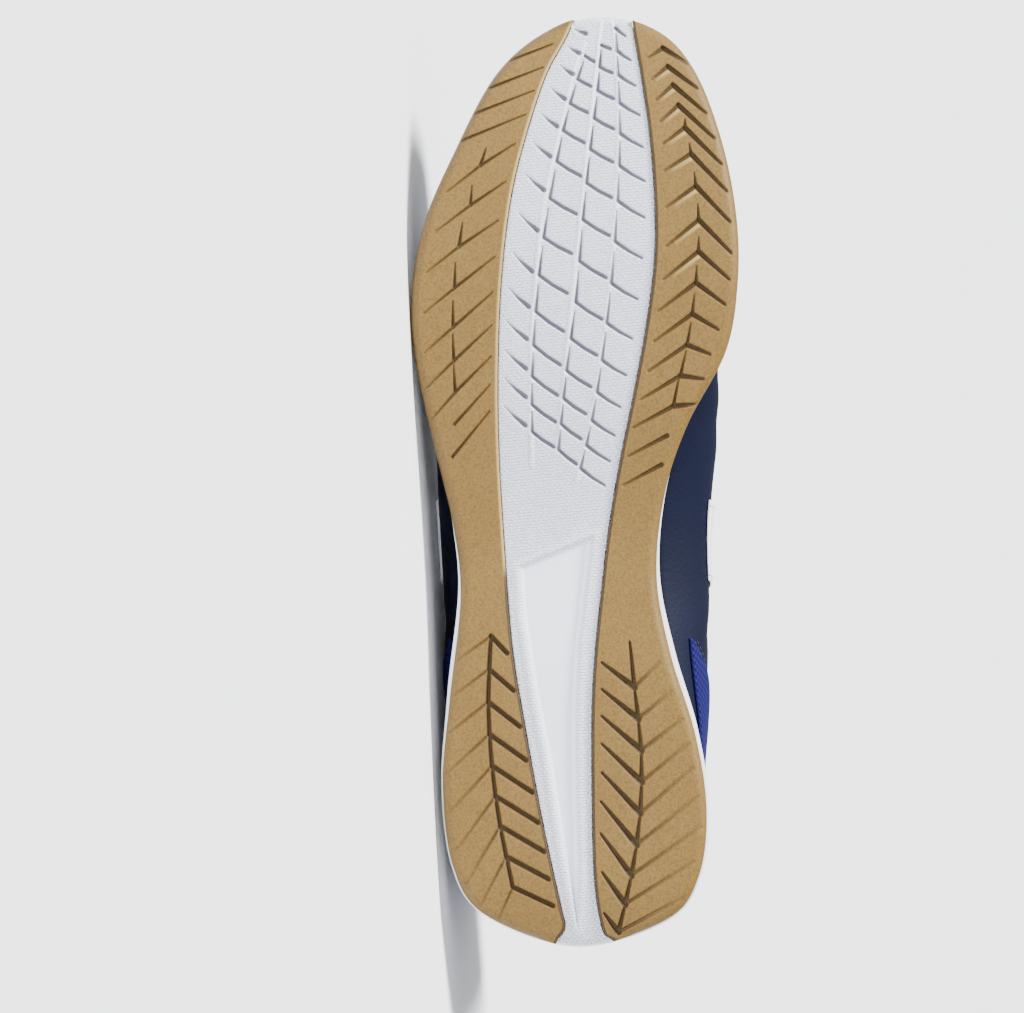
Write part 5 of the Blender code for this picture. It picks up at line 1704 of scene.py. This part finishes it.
def cut_holes(item: bpy.types.Object) -> None:
    """Cuts the eyelet holes through a piece."""
    bm = bmesh.new()
    for point, normal in zip(*eyelets()):
        turn = Vector((0, 0, 1)).rotation_difference(Vector(normal)).to_matrix().to_4x4()
        bmesh.ops.create_cone(
            bm, cap_ends=True, segments=20, radius1=EYELET_BORE / 2, radius2=EYELET_BORE / 2,
            depth=HOLE_DEPTH, matrix=SHOE_TO_FRAME @ Matrix.Translation(Vector(point)) @ turn,
        )
    mesh = bpy.data.meshes.new("holes")
    bm.to_mesh(mesh)
    bm.free()
    cutter = placed("holes", mesh)
    modifier = item.modifiers.new("holes", "BOOLEAN")
    modifier.operation = "DIFFERENCE"
    modifier.object = cutter
    modifier.solver = "EXACT"
    baked(item)
    bpy.data.objects.remove(cutter)


HOLE_DEPTH = 10 * MM
EYELET_BORE = 4.4 * MM
EYELET_PAIRS = 6
EYELET_INSET = 8.5 * MM
EYELET_TOP = 0.438
EYELET_FRONT = 0.670


@cache
def eyelets() -> tuple[np.ndarray, np.ndarray]:
    """Centres and normals of the eyelets: outer then inner side of each pair, toe first."""
    along = np.repeat(np.linspace(EYELET_FRONT, EYELET_TOP, EYELET_PAIRS), 2)
    side = np.tile((1.0, -1.0), EYELET_PAIRS)
    ribs = ribs_at(along, np.where(side > 0, 0.0, np.pi))
    end = ribs.last_t()
    edge = ribs.upper(end)

    def near(t: np.ndarray) -> np.ndarray:
        """Whether places lie within the inset of the throat's edge."""
        return np.linalg.norm(ribs.upper(t) - edge, axis=-1) <= EYELET_INSET

    low = halved(near, np.ones_like(end), end, 24)
    return skin_frame(along, (2 - low[:, 0]) * side)


@dataclass
class UpperShell(Piece):
    """The hollow upper: one wall, padded at the collar, open at collar, throat and foot."""

    wall: float = 2.2 * MM
    collar_wall: float = 5.6 * MM
    pad_depth: float = 25.0 * MM
    side_steps: int = 150
    fan_steps: int = 56
    lower_rows: int = 9
    upper_rows: int = 54
    rim_rows: int = 7
    rim_bulge: float = 0.85

    def thickness(self, points: np.ndarray) -> np.ndarray:
        """The wall's thickness at points."""
        along = points[..., 1] / SOLE_LENGTH
        depth = read(TOPLINES, "value", along) * COLLAR_HEIGHT - points[..., 2]
        near = (1 - step_up(depth, 0.0, self.pad_depth)) * (1 - step_up(along, HEEL_FLAT_END, COLLAR_PAD_END))
        return self.wall + (self.collar_wall - self.wall) * near

    def rim(self, grid: np.ndarray, normal: np.ndarray, thick: np.ndarray) -> np.ndarray:
        """The rounded edge from the outer face's last row over to the inner face.

        Args:
            grid: The outer face.
            normal: Normals along its last row.
            thick: The wall's thickness there.

        Returns:
            Points, ribs by rows.
        """
        last = grid[:, -1] - normal * thick / 2
        up = grid[:, -1] - grid[:, -2]
        up = unit(up - normal * np.sum(up * normal, axis=1, keepdims=True))
        made = []
        for angle in np.linspace(0, np.pi, self.rim_rows + 2)[1:-1]:
            around = normal * math.cos(angle) + up * math.sin(angle) * self.rim_bulge
            made.append(last + around * thick / 2)
        return np.stack(made, 1)

    def build(self) -> None:
        """Makes the upper."""
        ribs = all_ribs(self.side_steps, self.fan_steps)
        end = ribs.last_t()
        closed = end[:, 0] > 2 - 1e-9
        lower = np.linspace(0, 1, self.lower_rows + 1)[None, :-1]
        share = np.linspace(0, 1, self.upper_rows)[None, :]
        edge = ribs.upper(end)
        wall = np.where(closed[:, None], 0.0, self.thickness(edge))
        run = np.linalg.norm(ribs.upper(end) - ribs.upper(np.ones_like(end)), axis=-1) * 1.1
        stop = end - (end - 1) * wall * 0.42 / run
        t = np.concatenate((np.broadcast_to(lower, (len(end), self.lower_rows)), 1 + (stop - 1) * share), 1)
        grid = ribs.upper(t)
        normal = grid_normals(grid, True)
        ridge = np.nonzero(closed)[0]
        along = grid[ridge, -1, 1] / SOLE_LENGTH
        slope = (crest(along + 0.002) - crest(along - 0.002)) / (0.004 * SOLE_LENGTH)
        top = np.stack((np.zeros_like(slope), -slope, np.ones_like(slope)), 1)
        normal[ridge, -1] = unit(top)
        grid = grid - normal * crease_depth(grid)[..., None]
        thick = self.thickness(grid)[..., None]
        plump = 0.7 * MM * step_up(thick[..., 0], 2.6 * MM, 5.4 * MM)
        plump = plump - 0.35 * MM * step_up(thick[..., 0], 2.3 * MM, 2.8 * MM)
        grid = grid + normal * plump[..., None] * 0.5
        inner = grid - normal * thick
        rows, count = grid.shape[:2]
        rings = np.concatenate((grid, self.rim(grid, normal[:, -1], thick[:, -1]), inner[:, ::-1]), 1)
        total = rings.shape[1]
        faces = ring_faces(rows, total, True)
        kept = []
        for number, face in enumerate(faces):
            rib, place = divmod(number, total)
            on_rim = count - 1 <= place < total - count
            if on_rim and closed[rib] and closed[(rib + 1) % rows]:
                continue
            kept.append(face)
        around = lengths(grid[:, self.lower_rows])
        climb = np.cumsum(np.linalg.norm(np.diff(rings, axis=1, prepend=rings[:, :1]), axis=-1), axis=1)
        face_map = np.stack((np.broadcast_to(around[:, None], climb.shape), climb), -1).reshape(-1, 2) * TO_CM
        points = rings.reshape(-1, 3)
        marks = np.zeros((rows, total))
        marks[:, count + self.rim_rows // 2 :] = 1
        mesh = build_mesh("upper", points, kept, face_map, {"lined": marks.reshape(-1)})
        mesh.materials.append(self.palette.navy)
        mesh.materials.append(self.palette.lining)
        values = np.zeros(len(mesh.vertices), np.float32)
        mesh.attributes["lined"].data.foreach_get("value", values)
        for polygon in mesh.polygons:
            polygon.material_index = int(min(values[i] for i in polygon.vertices) > 0.5)
        item = placed("upper_shell", mesh)
        cut_holes(item)
        finished(item, Slot.NAVY, "upper")


def eased(count: int) -> np.ndarray:
    """Shares from 0 to 1, close together at both ends."""
    return (1 - np.cos(np.linspace(0, np.pi, count))) / 2


def overlay_mesh(
    name: str, grid: np.ndarray, normal: np.ndarray, lift: float, thickness: float
) -> bpy.types.Mesh:
    """A thin panel over a grid of the upper's face, with rounded edges.

    Args:
        name: The mesh's name.
        grid: Points of the face.
        normal: Their normals.
        lift: The gap under the panel.
        thickness: The panel's thickness.

    Returns:
        The mesh.
    """
    side = np.cumsum(np.linalg.norm(np.diff(grid, axis=0, prepend=grid[:1]), axis=-1), axis=0)
    tall = np.cumsum(np.linalg.norm(np.diff(grid, axis=1, prepend=grid[:, :1]), axis=-1), axis=1)
    near = np.minimum(np.minimum(side, side[-1:] - side), np.minimum(tall, tall[:, -1:] - tall))
    share = np.clip(near / (1.1 * MM), 0, 1)
    rise = lift + thickness * (0.25 + 0.75 * np.sqrt(1 - (1 - share) ** 2))
    outer = grid + normal * rise[..., None]
    under = grid + normal * lift
    rows, count = grid.shape[:2]
    number = np.arange(rows * count).reshape(rows, count)
    quads = np.stack((number[:-1, :-1], number[1:, :-1], number[1:, 1:], number[:-1, 1:]), -1).reshape(-1, 4)
    faces = quads.tolist() + (quads[:, ::-1] + rows * count).tolist()
    border = [*number[:, 0], *number[-1, 1:], *number[-2::-1, -1], *number[0, -2:0:-1]]
    for a, b in zip(border, border[1:] + border[:1]):
        faces.append([int(b), int(a), int(a) + rows * count, int(b) + rows * count])
    points = np.concatenate((outer.reshape(-1, 3), under.reshape(-1, 3)))
    face_map = np.stack((side, tall), -1).reshape(-1, 2) * TO_CM
    return build_mesh(name, points, faces, np.concatenate((face_map, face_map)), {})


@dataclass
class Eyestay(Piece):
    """The reinforcing band around the throat, with the eyelet holes."""

    front: float = 0.7365
    back: float = THROAT_TOP
    outer_share: float = 0.68
    lift: float = GAP
    thickness: float = 0.9 * MM
    corner_along: float = 0.02
    corner_width: float = 0.07
    width_scale: float = 0.05
    points_around: int = 320
    stitch_shares: tuple = (0.09, 0.17, 0.90, 0.82)

    def lines(self, count: int) -> tuple[np.ndarray, np.ndarray]:
        """The band's throat edge and outer edge, as pairs of along and width."""
        along = np.linspace(self.back, THROAT_FRONT - 0.0008, count)
        sides = []
        for sign in (1.0, -1.0):
            ribs = ribs_at(along, 0.0 if sign > 0 else np.pi)
            end = ribs.last_t()[:, 0]
            throat = np.stack((along, (2 - end) * sign), 1)
            outer = np.stack((along, (1 - (end - 1) * self.outer_share) * sign), 1)
            sides.append((throat, outer))
        corner = 1 - self.outer_share
        bend = np.linspace(0, np.pi / 2, 9)
        round_along = self.front - self.corner_along + self.corner_along * np.sin(bend)
        round_width = corner - self.corner_width + self.corner_width * np.cos(bend)
        turned = np.stack((round_along, round_width), 1)
        outer = np.vstack((sides[0][1], turned, turned[::-1] * (1, -1), sides[1][1][::-1]))
        inner = np.vstack((sides[0][0], sides[1][0][::-1]))
        return inner, outer

    def build(self) -> None:
        """Makes the band and its stitches."""
        inner, outer = self.lines(90)
        scale = np.array((SOLE_LENGTH, self.width_scale))
        shares = np.linspace(0, 1, self.points_around)
        inner = resample(inner * scale, shares) / scale
        outer = resample(outer * scale, shares) / scale
        across = eased(22)
        pair = inner[:, None] * (1 - across)[None, :, None] + outer[:, None] * across[None, :, None]
        points, normal = skin_frame(pair[..., 0], pair[..., 1])
        mesh = overlay_mesh("eyestay", points, normal, self.lift, self.thickness)
        mesh.materials.append(self.palette.eyestay)
        item = placed("eyestay_band", mesh)
        cut_holes(item)
        finished(item, Slot.NAVY, "eyestay")
        lines = []
        for step in self.stitch_shares:
            middle = inner * (1 - step) + outer * step
            spots, up = skin_frame(middle[6:-6, 0], middle[6:-6, 1])
            lines.append((spots + up * (self.lift + self.thickness + 0.05 * MM), up))
        self.sewing.sew("eyestay_stitches", lines, self.palette.thread, Slot.NAVY, BOLD_STITCH)


@dataclass
class Saddle(Piece):
    """A plain white panel on one side, from the sole up to the eyestay. Its low corners
    are places and shares of COLLAR_HEIGHT; each step is the high corner's place and how
    far it is above the low one."""

    side: float
    name: str
    thickness: float = 0.65 * MM
    back_low: Place = Place(0.392, 0.45)
    back_step: Place = Place(0.345, 0.75)
    front_low: Place = Place(0.480, 0.40)
    front_step: Place = Place(0.450, 0.80)
    top_share: float = 0.53

    def edge_at(self, low: Place, step: Place, height: np.ndarray) -> np.ndarray:
        """Where an edge of the panel is along the shoe, at heights."""
        return low.along + (step.along - low.along) * (height - low.value) / step.value

    def grid(self, across: np.ndarray, up: np.ndarray) -> tuple[np.ndarray, np.ndarray]:
        """Places as along and width for shares across the panel and up it."""
        across, up = np.broadcast_arrays(across, up)
        along = 0.39 + 0.09 * across
        low_back, low_front = self.back_low.value, self.front_low.value
        for _ in range(4):
            ribs = ribs_at(along.ravel(), 0.0 if self.side > 0 else np.pi)
            end = ribs.last_t()
            low = low_back + (low_front - low_back) * across.reshape(-1, 1)
            first = ribs.t_at(low * COLLAR_HEIGHT)
            t = first + (1 + (end - 1) * self.top_share - first) * up.reshape(-1, 1)
            height = ribs.upper(t)[:, 0, 2].reshape(across.shape) / COLLAR_HEIGHT
            back = self.edge_at(self.back_low, self.back_step, height)
            front = self.edge_at(self.front_low, self.front_step, height)
            along = back + (front - back) * across
        return along, (2 - t[:, 0].reshape(across.shape)) * self.side

    def build(self) -> None:
        """Makes the panel and its stitches."""
        along, width = self.grid(eased(40)[:, None], eased(70)[None, :])
        points, normal = skin_frame(along, width)
        mesh = overlay_mesh(self.name, points, normal, GAP, self.thickness)
        add_piece(self.name + "_cover", mesh, self.palette.white, Slot.WHITE, self.name)
        lines = []
        run = np.linspace(0.03, 0.97, 80)
        for share in (0.07, 0.93):
            spots, up = skin_frame(*self.grid(np.full_like(run, share), run))
            lines.append((spots + up * (GAP + self.thickness + 0.04 * MM), up))
        self.sewing.sew(self.name + "_stitches", lines, self.palette.white_thread, Slot.WHITE, FINE_STITCH)


@dataclass
class HeelWedge(Piece):
    """The blue mesh counter that wraps the heel and runs to a point on each side."""

    front: float = 0.330
    top: tuple = table(Place, (
        (-0.10, 0.735), (0.034, 0.725), (0.102, 0.690), (0.170, 0.625), (0.238, 0.520), (0.290, 0.420),
        (0.330, 0.322),
    ))
    bottom: tuple = table(Place, (
        (-0.10, 0.325), (0.102, 0.318), (0.204, 0.307), (0.273, 0.310), (0.330, 0.316),
    ))
    side_steps: int = 70
    fan_steps: int = 60
    rows: int = 34
    thickness: float = 0.9 * MM
    stitch_drops: tuple = (-0.9 * MM, -2.1 * MM)

    def build(self) -> None:
        """Makes the counter and the stitches over it."""
        places = np.linspace(self.front, HEEL_CENTRE, self.side_steps)
        fan = np.pi + np.arange(1, self.fan_steps) / self.fan_steps * np.pi
        along = np.concatenate((places, np.full_like(fan, HEEL_CENTRE), places[::-1]))
        angle = np.concatenate((np.full_like(places, np.pi), fan, np.full_like(places, 2 * np.pi)))
        ribs = ribs_at(along, angle)
        where = ribs.along(ribs.widest())
        low, high = read(self.bottom, "value", where), read(self.top, "value", where)
        share = eased(self.rows)[None, :]
        t = ribs.t_at((low + (high - low) * share) * COLLAR_HEIGHT)
        grid = ribs.upper(t)
        normal = grid_normals(grid, False)
        grid = grid - normal * crease_depth(grid)[..., None]
        mesh = overlay_mesh("heel_counter", grid, normal, GAP, self.thickness)
        add_piece("heel_counter_mesh", mesh, self.palette.blue, Slot.BLUE, "heel_counter")
        lines = []
        up = normal[:, -2]
        for step in self.stitch_drops:
            spots = ribs.upper(ribs.t_at(high * COLLAR_HEIGHT - step))[:, 0]
            lines.append(((spots + up * 0.12 * MM)[2:-2], up[2:-2]))
        self.sewing.sew("heel_stitches", lines, self.palette.thread, Slot.NAVY, FINE_STITCH)


@dataclass
class Tongue(Piece):
    """The padded tongue under the lace, with a stitched border."""

    sink: float = 3.5 * MM
    long_steps: int = 90
    half_steps: int = 16
    stitch_column: int = 5
    seam_place: float = 0.80
    seam_width: float = 0.05
    seam_depth: float = 0.22
    rounded_end: float = 5 * MM

    def build(self) -> None:
        """Makes the tongue."""
        along = TONGUE[0].along + (TONGUE[-1].along - TONGUE[0].along) * eased(self.long_steps)
        half = read(TONGUE, "half_width", along) * MM
        full = read(TONGUE, "thickness", along) * MM
        spine = read(STACKS, "spine", along) * BALL_WIDTH
        place = np.sin(np.linspace(-np.pi / 2, np.pi / 2, 2 * self.half_steps + 1))
        x = spine[:, None] + half[:, None] * place[None, :]
        every = np.broadcast_to(along[:, None], x.shape)
        points, normal = over_throat(x.ravel(), every.ravel())
        points, normal = points.reshape(*x.shape, 3), normal.reshape(*x.shape, 3)
        border = np.sqrt(np.maximum(1 - np.abs(place) ** 3.0, 0.0))[None, :]
        start = np.sqrt(step_up(lengths(points[:, self.half_steps]), 0.0, self.rounded_end))[:, None]
        pillow = border * (0.25 + 0.75 * start)
        trough = np.exp(-(((np.abs(place) - self.seam_place) / self.seam_width) ** 2))
        seam = 1 - self.seam_depth * trough[None, :]
        thick = full[:, None] * pillow * seam
        middle = points - normal * (self.sink + full[:, None] / 2)[..., None]
        outer = middle + normal * (thick / 2)[..., None]
        inner = middle - normal * (thick / 2)[..., None]
        rings = np.concatenate((outer, inner[:, -2:0:-1]), 1)
        mesh = rings_mesh("tongue", rings, {})
        item = add_piece("tongue_pad", mesh, self.palette.lining, Slot.LINING, "tongue")
        lines = []
        for k in (self.stitch_column, 2 * self.half_steps - self.stitch_column):
            lines.append((outer[6:-6, k] + normal[6:-6, k] * 0.1 * MM, normal[6:-6, k]))
        self.sewing.sew("tongue_stitches", lines, self.palette.thread, Slot.NAVY, PAD_STITCH)


class Pass(NamedTuple):
    """A place of the lace: a point of the upper's face and its normal, the lift over
    the face in millimetres, and the share of the lace's width."""

    point: np.ndarray
    normal: np.ndarray
    lift: float
    narrow: float


@dataclass
class Lace(Piece):
    """The flat lace: a bar at the toe end, then crossings up to the top eyelets, where
    its ends go in."""

    width: float = 6.6 * MM
    thickness: float = 1.2 * MM
    over: float = 2.1
    under: float = -2.95
    inside: float = -3.2
    cross_shares: tuple = (0.16, 0.3, 0.42, 0.5, 0.58, 0.70, 0.84)
    bar_shares: tuple = (0.12, 0.3, 0.5, 0.7, 0.88)
    step: float = 0.9 * MM

    def strand(self, first_side: int, family: int) -> list[Pass]:
        """One half of the lace, from its first eyelet to the top one."""
        centres, normals = eyelets()
        passes = []
        side = first_side
        for index in range(EYELET_PAIRS - 1):
            a = 2 * index + (0 if side > 0 else 1)
            b = 2 * (index + 1) + (1 if side > 0 else 0)
            start, finish = centres[a], centres[b]
            last = index == EYELET_PAIRS - 2
            from_under = index == 0
            lead = self.under if from_under else self.over
            passes.append(Pass(start, normals[a], self.inside if from_under else 1.2, 0.62))
            shares = np.array(self.cross_shares)
            x = start[0] + (finish[0] - start[0]) * shares
            along = (start[1] + (finish[1] - start[1]) * shares) / SOLE_LENGTH
            points, ups = over_throat(x, along)
            if from_under:
                cross = 0.5 if family else -0.5
            else:
                cross = 0.75 if (family + index) % 2 else -0.35
            tail = self.over if last else self.under
            for k, share in enumerate(self.cross_shares):
                level = lead + (tail - lead) * float(step_up(np.array(share), 0.25, 0.75))
                level += cross * math.exp(-(((share - 0.5) / 0.16) ** 2))
                passes.append(Pass(points[k], ups[k], level, 1.0 if 0.1 < share < 0.9 else 0.9))
            if last:
                passes.append(Pass(finish, normals[b], 1.0, 0.62))
                passes.append(Pass(finish, normals[b], -2.6, 0.5))
            else:
                passes.append(Pass(finish, normals[b], self.inside, 0.55))
                passes.append(Pass(finish, normals[b], -0.8, 0.5))
            side = -side
        return passes

    def bar(self) -> list[Pass]:
        """The bar between the two front eyelets, from outer to inner side."""
        centres, normals = eyelets()
        x = centres[0, 0] + (centres[1, 0] - centres[0, 0]) * np.array(self.bar_shares)
        points, ups = over_throat(x, np.full_like(x, centres[0, 1] / SOLE_LENGTH))
        level = self.over + 0.5
        made = [Pass(centres[0], normals[0], -0.8, 0.5), Pass(centres[0], normals[0], 1.4, 0.62)]
        made += [Pass(point, up, level, 1.0) for point, up in zip(points, ups)]
        return made + [Pass(centres[1], normals[1], 1.4, 0.62), Pass(centres[1], normals[1], -0.8, 0.5)]

    def build(self) -> None:
        """Makes the lace as one swept band."""
        outer, inner = self.strand(1, 0), self.strand(-1, 1)
        passes = outer[::-1] + self.bar() + inner
        spots = np.array([step.point + step.normal * step.lift * MM for step in passes])
        state = np.array([(*step.normal, step.narrow) for step in passes])
        line = spline(np.concatenate((spots, state), 1), False, 12)
        run = lengths(line[:, :3])
        places = np.linspace(0, run[-1], int(run[-1] / self.step))
        line = np.stack([np.interp(places, run, line[:, k]) for k in range(7)], 1)
        kernel = np.array((1, 2, 3, 2, 1)) / 9
        for k in range(7):
            padded = np.pad(line[:, k], 2, mode="edge")
            line[:, k] = np.convolve(padded, kernel, mode="valid")
        ahead = directions(line[:, :3])
        up = line[:, 3:6]
        side = unit(np.cross(ahead, up), 1e-9)
        for k in range(1, len(side)):
            mixed = side[k] * 0.5 + side[k - 1] * (0.5 if side[k] @ side[k - 1] >= 0 else -0.5)
            side[k] = mixed / np.linalg.norm(mixed)
        top = np.cross(side, ahead)
        angle = np.linspace(0, 2 * np.pi, 20, endpoint=False)
        flat = np.sign(np.cos(angle)) * np.abs(np.cos(angle)) ** 0.7
        tall = np.sin(angle)
        narrow = line[:, 6:7]
        wide = side[:, None, :] * (flat[None, :, None] * self.width / 2) * narrow[..., None]
        high = top[:, None, :] * (tall[None, :, None] * self.thickness / 2)
        high = high * (1.5 - 0.5 * narrow)[..., None]
        rings = line[:, None, :3] + wide + high
        points = rings.reshape(-1, 3)
        across = np.broadcast_to(flat[None, :] * self.width * 50, rings.shape[:2])
        down = np.broadcast_to(places[:, None] * 100, rings.shape[:2])
        face_map = np.stack((across, down), -1).reshape(-1, 2)
        mesh = build_mesh("laces", points, ring_faces(*rings.shape[:2]), face_map, {})
        add_piece("lace_band", mesh, self.palette.lace, Slot.LACE, "laces")


@dataclass
class Seams(Piece):
    """Lines of stitches on the upper itself: along the collar and down the vamp."""

    collar_drops: tuple = (7.0 * MM, 8.6 * MM)
    collar_end: float = 0.40
    vamp_shifts: tuple = (0.0, 0.0075)
    over_collar: float = 0.28 * MM
    over_vamp: float = 0.12 * MM

    def build(self) -> None:
        """Sews the lines."""
        ribs = all_ribs(150, 56)
        end = ribs.last_t()
        top = ribs.upper(end)[:, 0]
        low = np.nonzero(top[:, 1] < self.collar_end * SOLE_LENGTH)[0]
        order = np.roll(low, -int(np.nonzero(np.diff(low) > 1)[0][0]) - 1)
        lines = []
        for drop in self.collar_drops:
            t = ribs.t_at(ribs.upper(end)[..., 2] - drop)
            grid = ribs.upper(np.concatenate((t - 0.02, t, t + 0.02), 1))
            normal = grid_normals(grid, True)[:, 1]
            spots = grid[:, 1] - normal * crease_depth(grid[:, 1])[:, None]
            lines.append((spots[order] + normal[order] * self.over_collar, normal[order]))
        for side in (1.0, -1.0):
            for shift in self.vamp_shifts:
                share = np.linspace(0, 1, 60)
                along = 0.715 - 0.075 * share**0.7 + shift
                width = (0.34 + 0.83 * share) * side
                spots, up = skin_frame(along, width)
                lines.append((spots + up * self.over_vamp, up))
        self.sewing.sew("upper_stitches", lines, self.palette.thread, Slot.NAVY, FINE_STITCH)


@dataclass
class Studio:
    """The pale floor, the soft light and the camera."""

    target: tuple = (21.25 * MM, 138.65 * MM, 0.0)
    distance: float = 1.55
    field_width: float = 0.320
    yaw: float = math.radians(3.0)
    sensor: float = 36.0
    horizon: float = 3.6
    zenith: float = 0.66
    fade: tuple = (0.02, 0.30)
    sky_colour: tuple = (0.965, 0.985, 1.0, 1.0)
    sun: float = 11.6
    sun_width: float = 16.0
    sun_from: tuple = (-0.50, -0.25, 0.83)
    floor_half: float = 90.0

    def camera(self) -> None:
        """Sets the camera at the photo's angle to the sole."""
        data = bpy.data.cameras.new("camera")
        data.sensor_width = self.sensor
        data.lens = self.sensor * self.distance / self.field_width
        data.clip_end = 200.0
        item = placed("camera", data)
        turn = SHOE_TO_FRAME.to_3x3()
        back = turn @ Vector((-math.sin(self.yaw), 0.0, -math.cos(self.yaw)))
        up = turn @ Vector((0.0, 1.0, 0.0))
        right = up.cross(back).normalized()
        up = back.cross(right)
        spot = SHOE_TO_FRAME @ Vector(self.target) + back * self.distance
        item.matrix_world = Matrix.Translation(spot) @ Matrix((right, up, back)).transposed().to_4x4()
        bpy.context.scene.camera = item

    def floor(self) -> None:
        """Lays the floor."""
        mesh = bpy.data.meshes.new("floor")
        half = self.floor_half
        corners = [(-half, -half, 0), (half, -half, 0), (half, half, 0), (-half, half, 0)]
        mesh.from_pydata(corners, [], [(0, 1, 2, 3)])
        item = placed("floor", mesh)
        made = Finish("floor_pale", 0.9)
        cloud = made.between(made.noise(0.8), 0.2, 0.8)
        colour = made.blend(cloud, linear(247, 248, 250), linear(245, 246, 249))
        mesh.materials.append(made.done(colour))

    def lights(self) -> None:
        """Sets the sky and the soft main light."""
        world = bpy.data.worlds.new("sky")
        bpy.context.scene.world = world
        world.use_nodes = True
        tree = world.node_tree
        sky = tree.nodes["Background"].inputs
        sky["Color"].default_value = self.sky_colour
        way = add_node(tree, "ShaderNodeTexCoord").outputs["Generated"]
        height = add_node(tree, "ShaderNodeSeparateXYZ", None, {0: way}).outputs["Z"]
        feeds = {"Value": height, "From Min": self.fade[0], "From Max": self.fade[1]}
        feeds |= {"To Min": self.horizon, "To Max": self.zenith}
        feed(tree, sky["Strength"], add_node(tree, "ShaderNodeMapRange", None, feeds).outputs[0])
        data = bpy.data.lights.new("main_light", "SUN")
        data.energy = self.sun
        data.angle = math.radians(self.sun_width)
        item = placed("main_light", data)
        way = Vector(self.sun_from).normalized()
        item.rotation_euler = way.to_track_quat("Z", "Y").to_euler()

    def build(self) -> None:
        """Makes the studio."""
        self.camera()
        self.floor()
        self.lights()


def main() -> None:
    """Dresses the shoe and sets the studio."""
    logging.basicConfig(level=logging.INFO, format="%(name)s %(message)s")
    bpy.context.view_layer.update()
    tools = (Palette(), StitchTree())
    Studio().build()
    pieces = (
        GumBand(*tools, "outsole_lateral", OUTER_BAND_EDGE, True, LUGS_OUTER),
        GumBand(*tools, "outsole_medial", INNER_BAND_EDGE, False, LUGS_INNER),
        CentreStrip(*tools), Midsole(*tools), Insole(*tools), UpperShell(*tools), Eyestay(*tools),
        Saddle(*tools, 1.0, "side_panel_lateral"), Saddle(*tools, -1.0, "side_panel_medial"),
        HeelWedge(*tools), Tongue(*tools), Lace(*tools), Seams(*tools),
    )
    for piece in pieces:
        piece.build()


if __name__ == "__main__":
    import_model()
    main()
